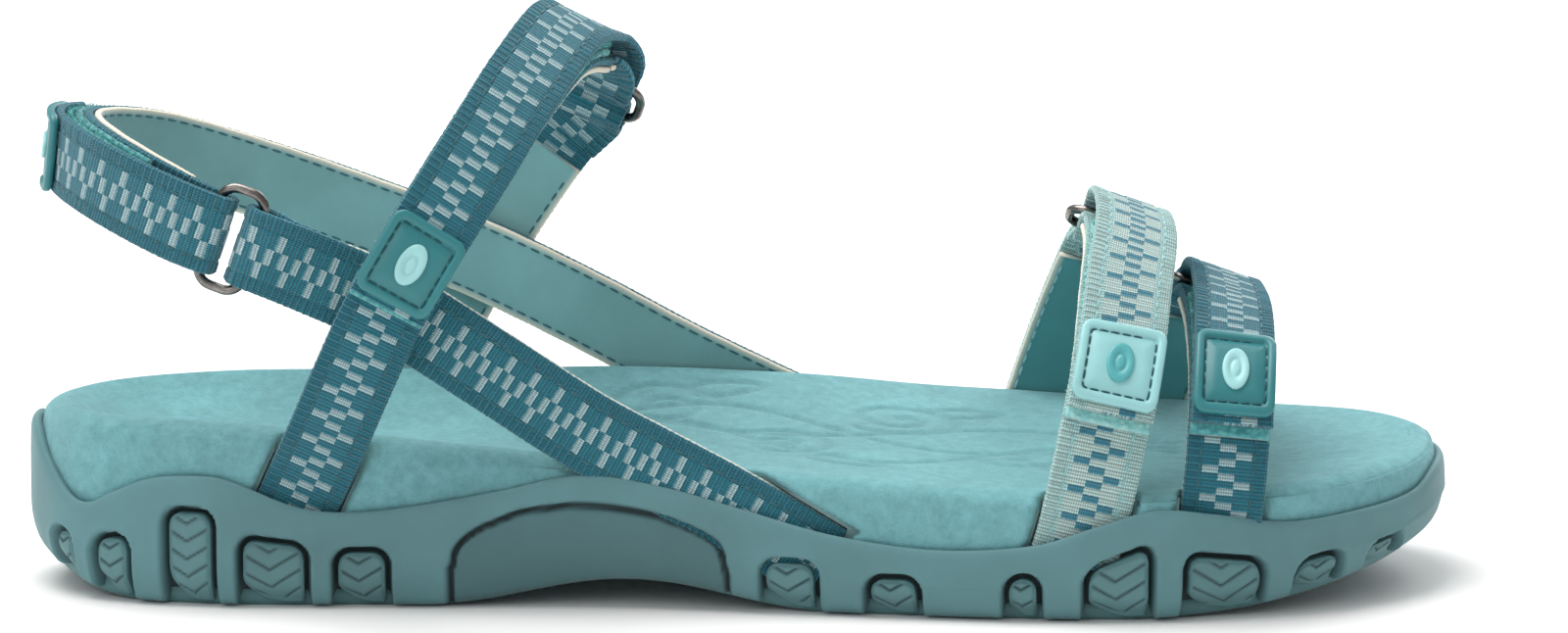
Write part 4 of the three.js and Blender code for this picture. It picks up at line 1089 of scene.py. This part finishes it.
def lining_cloth(name, base, edge_tone):
    """Microfibre: faint clouds and a fine nap, and cream where the cut edge is marked."""
    made, tree, shader = finish_of(name, 0.88, sheen=0.3)
    spot = added(tree, "TexCoord")
    clouds = added(tree, "TexNoise", Scale=60.0, Detail=4.0)
    nap = added(tree, "TexNoise", Scale=1700.0, Detail=3.0)
    tone = ramp(tree, *shades(base), 0.3, 0.7)
    rim = added(tree, "Attribute", attribute_name="cut_edge")
    mix = added(tree, "Mix", data_type="RGBA")
    mix.inputs[7].default_value = colour(*edge_tone)
    bump = added(tree, "Bump", Strength=0.5, Distance=0.0001)
    link(tree, (spot.outputs["Object"], clouds.inputs["Vector"]), (clouds.outputs[0], tone.inputs[0]),
         (spot.outputs["Object"], nap.inputs["Vector"]), (tone.outputs[0], mix.inputs[6]),
         (rim.outputs["Fac"], mix.inputs[0]),
         (mix.outputs[2], shader.inputs["Base Color"]), (nap.outputs[0], bump.inputs["Height"]),
         (bump.outputs[0], shader.inputs["Normal"]))
    return made


lining_finish = lining_cloth("strap_lining", (122, 168, 170), (232, 222, 204))
# The forefoot and toe straps take a darker copy of the same lining: painted shade.
shaded_front_lining = lining_cloth("front_strap_lining_shaded", (70, 138, 142), (226, 220, 204))


def thread_finish(name, dark, pale):
    """Twisted thread, whose colour goes from dark to pale with a fine noise."""
    made, tree, shader = finish_of(name, 0.6, sheen=0.2)
    twist = added(tree, "TexNoise", Scale=900.0, Detail=2.0)
    twist_tone = ramp(tree, dark, pale)
    spot = added(tree, "TexCoord")
    link(tree, (spot.outputs["Object"], twist.inputs["Vector"]), (twist.outputs[0], twist_tone.inputs[0]),
         (twist_tone.outputs[0], shader.inputs["Base Color"]))
    return made


seam_thread = thread_finish("seam_thread", (22, 74, 84), (48, 116, 126))
aqua_thread = thread_finish("aqua_seam_thread", (112, 172, 178), (160, 212, 216))


def stitch_row(runs, line, way, across, v, lift, pitch=2.8, length=2.0, thick=0.24):
    """Seam of short stitches. Each is a six-sided bead drawn out along the frames, thin at both
    ends, where it goes into the cloth."""
    starts = np.arange(runs[0] + 1, runs[-1] - length - 0.5, pitch)
    shape = np.array([(0, 0.15), (0.12, 0.8), (0.5, 1.0), (0.88, 0.8), (1, 0.15)])
    angle = np.linspace(0, 2 * np.pi, 6, endpoint=False)
    at = starts[:, None] + shape[None, :, 0] * length
    pick = lambda a: np.stack([np.interp(at, runs, a[:, c]) for c in range(3)], -1)
    sink = -0.12 + 0.12 * shape[:, 1]
    hub = pick(line) + pick(across) * v + pick(way) * (lift + sink)[None, :, None]
    radius = thick * shape[:, 1]
    ring = (hub[:, :, None] + pick(across)[:, :, None] * (np.cos(angle) * radius[:, None])[None, ..., None]
            + pick(way)[:, :, None] * (np.sin(angle) * radius[:, None] * 0.8)[None, ..., None])
    one = wrapped(5, 6, False)
    ends = [tuple(range(5, -1, -1)), tuple(range(24, 30))]
    faces = [tuple(f + 30 * k) for k in range(len(starts)) for f in one]
    faces += [tuple(i + 30 * k for i in end) for k in range(len(starts)) for end in ends]
    return ring.reshape(-1, 3), faces


def lining(name, path, stop, width):
    """A strap's lining as a band under it, with its cut edges marked, and the seams on its face."""
    runs = np.arange(path.seat_run() + 0.5, path.length - stop, 0.6)
    frames = path.at(runs, LINING_OFFSET)
    points, faces, uv = tape(runs, *frames, width - 0.2, LINING, relief=False)
    rim = eased(width / 2 - 0.1 - CREAM_EDGE, width / 2 - CREAM_EDGE / 2, np.abs(uv[:, 1]))
    # Painted shade: the forefoot and toe linings get the darker copy.
    cloth = shaded_front_lining if name.endswith(("forefoot", "toe")) else lining_finish
    piece = mesh_piece(name + "_lining_cloth", points, faces, cloth, cut_edge=rim)
    outward(piece)
    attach(piece, "sandal")
    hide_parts(name + "_lining")
    fine = np.arange(runs[0], runs[-1], 0.5)
    face_frames = path.at(fine)
    rows = [stitch_row(fine, *face_frames, side * (width / 2 - 1.5), LINING_OFFSET - LINING / 2)
            for side in (-1, 1)]
    top = np.arange(runs[0], path.length - stop, 0.5)
    rows += [stitch_row(top, *path.at(top), side * (width / 2 - BORDER + 0.1), WEBBING / 2 - 0.08)
             for side in (-1, 1)]
    points, faces = joined(rows)
    thread = aqua_thread if name.endswith("forefoot") else seam_thread
    seam = mesh_piece(name + "_seams", points, faces, thread)
    outward(seam)
    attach(seam, "sandal")


for closure, (ring, free, keeper) in routes.items():
    width = CLOSURES[closure]["width"]
    free_side, keeper_side = CLOSURES[closure]["names"]
    lining(f"{free_side}_{closure}", free, BAR_STOP, width)
    lining(f"{keeper_side}_{closure}", keeper, TAIL + 5, width)

# ---- Rings ----
# Bent steel wire with a dark plated finish, closed into a rectangle with round corners. The free
# strap slides round one long bar, the keeper is sewn round the other.


BEND = 3.2


def wire_ring(ring, width):
    """The wire's round section swept along a rectangle whose corners are quarter turns of BEND."""
    straight, reach = width / 2 + 1 + WIRE / 2 - BEND, BAR_OFFSET - BEND
    places = []
    for corner, (a, b) in enumerate([(1, 1), (1, -1), (-1, -1), (-1, 1)]):
        angle = np.pi / 2 * (corner + np.linspace(0, 1, 13))
        places.append(np.stack([a * straight + BEND * np.sin(angle), b * reach + BEND * np.cos(angle),
                                np.sin(angle), np.cos(angle)], -1))
    x, y, dx, dy = np.vstack(places).T
    turn = np.linspace(0, 2 * np.pi, 20, endpoint=False)
    middle = ring["centre"] + x[:, None] * ring["across"] + y[:, None] * ring["along"]
    away = dx[:, None] * ring["across"] + dy[:, None] * ring["along"]
    body = (middle[:, None] + away[:, None] * (WIRE / 2 * np.cos(turn))[None, :, None]
            + ring["face"][None, None] * (WIRE / 2 * np.sin(turn))[None, :, None])
    return body.reshape(-1, 3), wrapped(len(x), 20, True)


ring_finish, tree, shader = finish_of("dark_plated_steel", 0.24, metal=1.0)
spot = added(tree, "TexCoord")
rub = added(tree, "TexNoise", Scale=260.0, Detail=5.0, Roughness=0.65)
rub_tone = ramp(tree, (88, 84, 82), (150, 146, 142), 0.35, 0.75)
rub_rough = added(tree, "MapRange", To_Min=0.16, To_Max=0.36)
link(tree, (spot.outputs["Object"], rub.inputs["Vector"]), (rub.outputs[0], rub_tone.inputs[0]),
     (rub_tone.outputs[0], shader.inputs["Base Color"]), (rub.outputs[0], rub_rough.inputs[0]),
     (rub_rough.outputs[0], shader.inputs["Roughness"]))
for closure, (ring, free, keeper) in routes.items():
    wire = mesh_piece(f"{closure}_wire_ring", *wire_ring(ring, CLOSURES[closure]["width"]), ring_finish)
    outward(wire)
    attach(wire, f"{closure}_ring_body")
    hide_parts(f"{closure}_ring")

# ---- Pull tabs ----
# The free strap past its ring: it turns half round the bar and lies back over itself, held by a
# hook strip sewn under it. Its neck under the bar is a short piece of its own.


def tab_band(ring, free, tab):
    """Frames of the tab: from its end along the strap, lifted by two fold radii, then round the bar."""
    runs = np.arange(free.length - tab, free.length, STEP)
    line, way, _ = free.at(runs, TAB_OFFSET)
    turn = [part[::-1][1:] for part in half_turn(ring, ring["free_bar"], 1)]
    line, way = np.vstack([line, turn[0]]), np.vstack([way, turn[1]])
    across = unit(np.cross(unit(np.gradient(line, axis=0)), way))
    run = np.concatenate([[0], np.cumsum(np.linalg.norm(np.diff(line, axis=0), axis=1))])
    return run, line, way, across


for closure, (ring, free, keeper) in routes.items():
    spec = CLOSURES[closure]
    width, body = spec["width"], f"{closure}_tab_body"
    band = tab_band(ring, free, spec["tab"])
    points, faces, uv = tape(*band, width, WEBBING, back_relief=True)
    tab = mesh_piece(f"{closure}_tab_webbing", points, faces, WEBBING_OF[closure], uv=uv)
    outward(tab)
    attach(tab, body)
    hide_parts(f"{closure}_pull_tab")
    rows = [stitch_row(*band, side * (width / 2 - BORDER + 0.1), WEBBING / 2 - 0.08) for side in (-1, 1)]
    points, faces = joined(rows)
    thread = aqua_thread if closure == "forefoot" else seam_thread
    seam = mesh_piece(f"{closure}_tab_seams", points, faces, thread)
    outward(seam)
    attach(seam, body)

    runs = np.linspace(free.length - BAR_STOP + 0.02, free.length - 0.02, 22)
    line, way, across = free.at(runs)
    points, faces, uv = tape(runs, line, way, across, width, WEBBING, u_start=runs[0],
                             back_relief=True)
    neck = mesh_piece(f"{closure}_strap_neck", points, faces, WEBBING_OF[closure], uv=uv)
    outward(neck)
    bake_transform(neck)

# ---- Hook and loop strips ----
# The loop strip is a fuzzy pile sewn on the strap's outer face, the hook strip a stiffer bristle
# tape under the tab. Tufts stick out along their cut edges.


def pile(name, base, light, scale, rough=0.95, sheen=0.4):
    """Pile: crowded cells as tuft tips, with painted shade darker between them, over a noisy height."""
    made, tree, shader = finish_of(name, rough, sheen=sheen)
    spot = added(tree, "TexCoord")
    tufts = added(tree, "TexVoronoi", Scale=scale)
    fuzz = added(tree, "TexNoise", Scale=scale * 1.6, Detail=4.0, Roughness=0.8)
    tone = ramp(tree, light, base, 0.1, 0.8)
    both = added(tree, "Math", operation="SUBTRACT")
    bump = added(tree, "Bump", Strength=0.9, Distance=0.0004)
    link(tree, (spot.outputs["Object"], tufts.inputs["Vector"]),
         (spot.outputs["Object"], fuzz.inputs["Vector"]),
         (tufts.outputs["Distance"], tone.inputs[0]), (tone.outputs[0], shader.inputs["Base Color"]),
         (fuzz.outputs[0], both.inputs[0]), (tufts.outputs["Distance"], both.inputs[1]),
         (both.outputs[0], bump.inputs["Height"]), (bump.outputs[0], shader.inputs["Normal"]))
    return made


loop_finish = {"teal": pile("loop_tape", (60, 146, 152), (104, 190, 192), 900.0),
               "aqua": pile("loop_tape_aqua", (132, 204, 204), (176, 228, 226), 900.0)}
hook_finish = {"teal": pile("hook_tape", (34, 138, 140), (84, 190, 184), 1300.0, 0.7, 0.15),
               "aqua": pile("hook_tape_aqua", (66, 176, 168), (116, 214, 204), 1300.0, 0.7, 0.15)}


def tufts(runs, frames, width, thick, seed, count):
    """Loose fibres on a strip's long edges: thin bent three-sided hairs from random places, each a
    short arc that leans outwards, seeded so that they come out the same."""
    chance = np.random.default_rng(seed)
    at = chance.uniform(runs[0], runs[-1], count)
    side = np.sign(chance.uniform(-1, 1, count))
    line, way, across = (np.stack([np.interp(at, runs, a[:, c]) for c in range(3)], -1) for a in frames)
    ahead = unit(np.cross(way, across))
    high = chance.uniform(-thick / 2, thick / 2, count)
    root = line + across * (side * (width / 2 - 0.35))[:, None] + way * high[:, None]
    out = unit(across * side[:, None] + ahead * chance.normal(0, 0.5, count)[:, None]
               + way * chance.normal(0, 0.35, count)[:, None])
    long = chance.uniform(0.5, 1.25, count)
    t = np.array([0, 0.5, 1.0])
    bend = way * chance.normal(0, 0.25, count)[:, None] + ahead * chance.normal(0, 0.3, count)[:, None]
    hub = (root[:, None] + out[:, None] * t[None, :, None] * long[:, None, None]
           + bend[:, None] * (t ** 2)[None, :, None] * long[:, None, None])
    first = unit(np.cross(out, way + 0.01))
    second = np.cross(out, first)
    angle = np.linspace(0, 2 * np.pi, 3, endpoint=False)
    radius = 0.085 * np.array([1, 0.8, 0.35])
    ring = (hub[:, :, None] + first[:, None, None] * (np.cos(angle) * radius[:, None])[None, ..., None]
            + second[:, None, None] * (np.sin(angle) * radius[:, None])[None, ..., None])
    one = [tuple(f) for f in wrapped(3, 3, False)] + [(2, 1, 0), (6, 7, 8)]
    faces = [tuple(int(i) + 9 * k for i in f) for k in range(count) for f in one]
    return ring.reshape(-1, 3), faces


for number, (closure, (ring, free, keeper)) in enumerate(routes.items()):
    spec = CLOSURES[closure]
    kind = "aqua" if closure == "forefoot" else "teal"
    width = spec["width"]
    tab_end = free.length - spec["tab"]
    for layer, offset, start, body, finish in (
        ("loop", 1.75, tab_end - 1.2, "sandal", loop_finish[kind]),
        ("hook", 3.45, tab_end + 0.6, f"{closure}_tab_body", hook_finish[kind]),
    ):
        runs = np.arange(start, free.length - BAR_STOP - 7, 0.6)
        frames = free.at(runs, offset)
        wide = width - (0.5 if layer == "loop" else 1.2)
        band = tape(runs, *frames, wide, PATCH, relief=False)
        hairs = tufts(runs, frames, wide, PATCH, 11 + number * 2 + (layer == "hook"), 460)
        points, faces = joined([band, hairs])
        strip = mesh_piece(f"{closure}_{layer}_strip", points, faces, finish)
        outward(strip)
        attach(strip, body)
        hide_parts(f"{closure}_{layer}_patch")

# ---- Badges and emblems ----
# Soft moulded plates welded on the tabs' ends. A raised border frames a sunk panel with a stitched
# line inside it, and a plain oval disc with a round boss sits in the middle.

BADGE_LENGTH = 14.5
BADGE_OFFSET = 7.05


def round_frame(half_x, half_y, corner, samples=24):
    """Closed outline of a rectangle with rounded corners, with the same number of points for every
    size, so that outlines of different sizes match point by point."""
    corner = max(corner, 0.05)
    parts = []
    for k, (a, b) in enumerate([(1, 1), (-1, 1), (-1, -1), (1, -1)]):
        angle = np.pi / 2 * (k + np.linspace(0, 1, samples))
        parts.append(np.stack([a * (half_x - corner) + corner * np.cos(angle),
                               b * (half_y - corner) + corner * np.sin(angle)], -1))
    line = np.vstack(parts)
    out = []
    for i, point in enumerate(line):
        out.append(point[None])
        if (i + 1) % samples == 0:
            out.append(np.linspace(point, line[(i + 1) % len(line)], 10, endpoint=False)[1:])
    return np.vstack(out)


def moulded_plate(outlines, free, middle, offset):
    """A plate from matching outlines and their heights, bottom to top, laid on the curved strap.
    The first and last outlines close on their middle points."""
    n = len(outlines[0][0])
    flat = np.vstack([np.column_stack([o, np.full(n, h)]) for o, h in outlines]
                     + [[[0, 0, outlines[0][1]]], [[0, 0, outlines[-1][1]]]])
    line, way, across = free.at(middle + flat[:, 0])
    points = line + across * flat[:, 1:2] + way * (offset + flat[:, 2:3])
    faces = [tuple(f) for f in wrapped(len(outlines), n, False)]
    hub = len(outlines) * n
    faces += [(hub, (k + 1) % n, k) for k in range(n)]
    faces += [(hub + 1, hub - n + k, hub - n + (k + 1) % n) for k in range(n)]
    return points, faces


def soft_plastic(name, base, rough=0.42):
    """Soft PVC: even tone with faint clouds, a slight orange-peel surface and a soft gloss."""
    made, tree, shader = finish_of(name, rough, coat=0.08)
    spot = added(tree, "TexCoord")
    clouds = added(tree, "TexNoise", Scale=140.0, Detail=3.0)
    tone = ramp(tree, *shades(base))
    peel = added(tree, "TexNoise", Scale=1100.0, Detail=2.0)
    bump = added(tree, "Bump", Strength=0.2, Distance=0.00005)
    link(tree, (spot.outputs["Object"], clouds.inputs["Vector"]), (clouds.outputs[0], tone.inputs[0]),
         (spot.outputs["Object"], peel.inputs["Vector"]), (tone.outputs[0], shader.inputs["Base Color"]),
         (peel.outputs[0], bump.inputs["Height"]), (bump.outputs[0], shader.inputs["Normal"]))
    return made


badge_teal = soft_plastic("badge_teal", (42, 122, 128))
badge_aqua = soft_plastic("badge_aqua", (150, 206, 208))
emblem_light = soft_plastic("emblem_aqua", (158, 212, 214))
emblem_teal = soft_plastic("emblem_teal", (84, 172, 176))
groove_thread = soft_plastic("badge_groove", (20, 84, 92), 0.6)
for closure, (ring, free, keeper) in routes.items():
    spec = CLOSURES[closure]
    half_y = (spec["width"] - 0.2) / 2
    half_x = BADGE_LENGTH / 2
    middle = free.length - spec["tab"] + 1 + half_x
    body = f"{closure}_tab_body"
    steps = [(0.5, -0.8, 1.7), (0.0, -0.45, 2.1), (0, 0.35, 2.1), (0.12, 0.62, 2), (0.4, 0.78, 1.8),
             (1.25, 0.8, 1.2), (1.5, 0.62, 1.0), (1.62, 0.15, 0.9), (1.95, 0.1, 0.8), (2.15, 0.3, 0.7),
             (4.2, 0.34, 0.5), (6.2, 0.36, 0.3)]
    outlines = [(round_frame(half_x - i, half_y - i, c), h) for i, h, c in steps]
    plate = mesh_piece(f"{closure}_badge_plate", *moulded_plate(outlines, free, middle, BADGE_OFFSET),
                       badge_aqua if closure == "forefoot" else badge_teal)
    outward(plate)
    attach(plate, body)
    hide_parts(f"{closure}_badge")

    track = round_frame(half_x - 1.85, half_y - 1.85, 0.7)
    track = np.vstack([track, track[:1]])
    run_on = np.concatenate([[0], np.cumsum(np.linalg.norm(np.diff(track, axis=0), axis=1))])
    fine = np.arange(0, run_on[-1], 0.1)
    x, y = np.interp(fine, run_on, track[:, 0]), np.interp(fine, run_on, track[:, 1])
    line, way, across = free.at(middle + x)
    ride_line = line + across * y[:, None] + way * (BADGE_OFFSET + 0.2)
    ahead = unit(np.gradient(ride_line, axis=0))
    points, faces = stitch_row(fine, ride_line, way, np.cross(ahead, way), 0, 0.02, 2.1, 1.7, 0.2)
    thread = mesh_piece(f"{closure}_badge_thread", points, faces, groove_thread)
    outward(thread)
    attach(thread, body)

    angle = np.linspace(0, 2 * np.pi, 72, endpoint=False)
    oval = lambda a, b: np.stack([a * np.cos(angle), b * np.sin(angle)], -1)
    discs = [(oval(3.3, 2.3), -0.5), (oval(3.5, 2.5), 0.3), (oval(3.4, 2.4), 0.52),
             (oval(3.15, 2.15), 0.62), (oval(1.85, 1.35), 0.62), (oval(1.7, 1.2), 0.42),
             (oval(1.3, 0.85), 0.42), (oval(1.15, 0.72), 0.6), (oval(0.5, 0.35), 0.66)]
    disc = mesh_piece(f"{closure}_emblem_disc", *moulded_plate(discs, free, middle, BADGE_OFFSET + 0.35),
                      emblem_teal if closure == "forefoot" else emblem_light)
    outward(disc)
    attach(disc, body)
    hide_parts(f"{closure}_emblem")
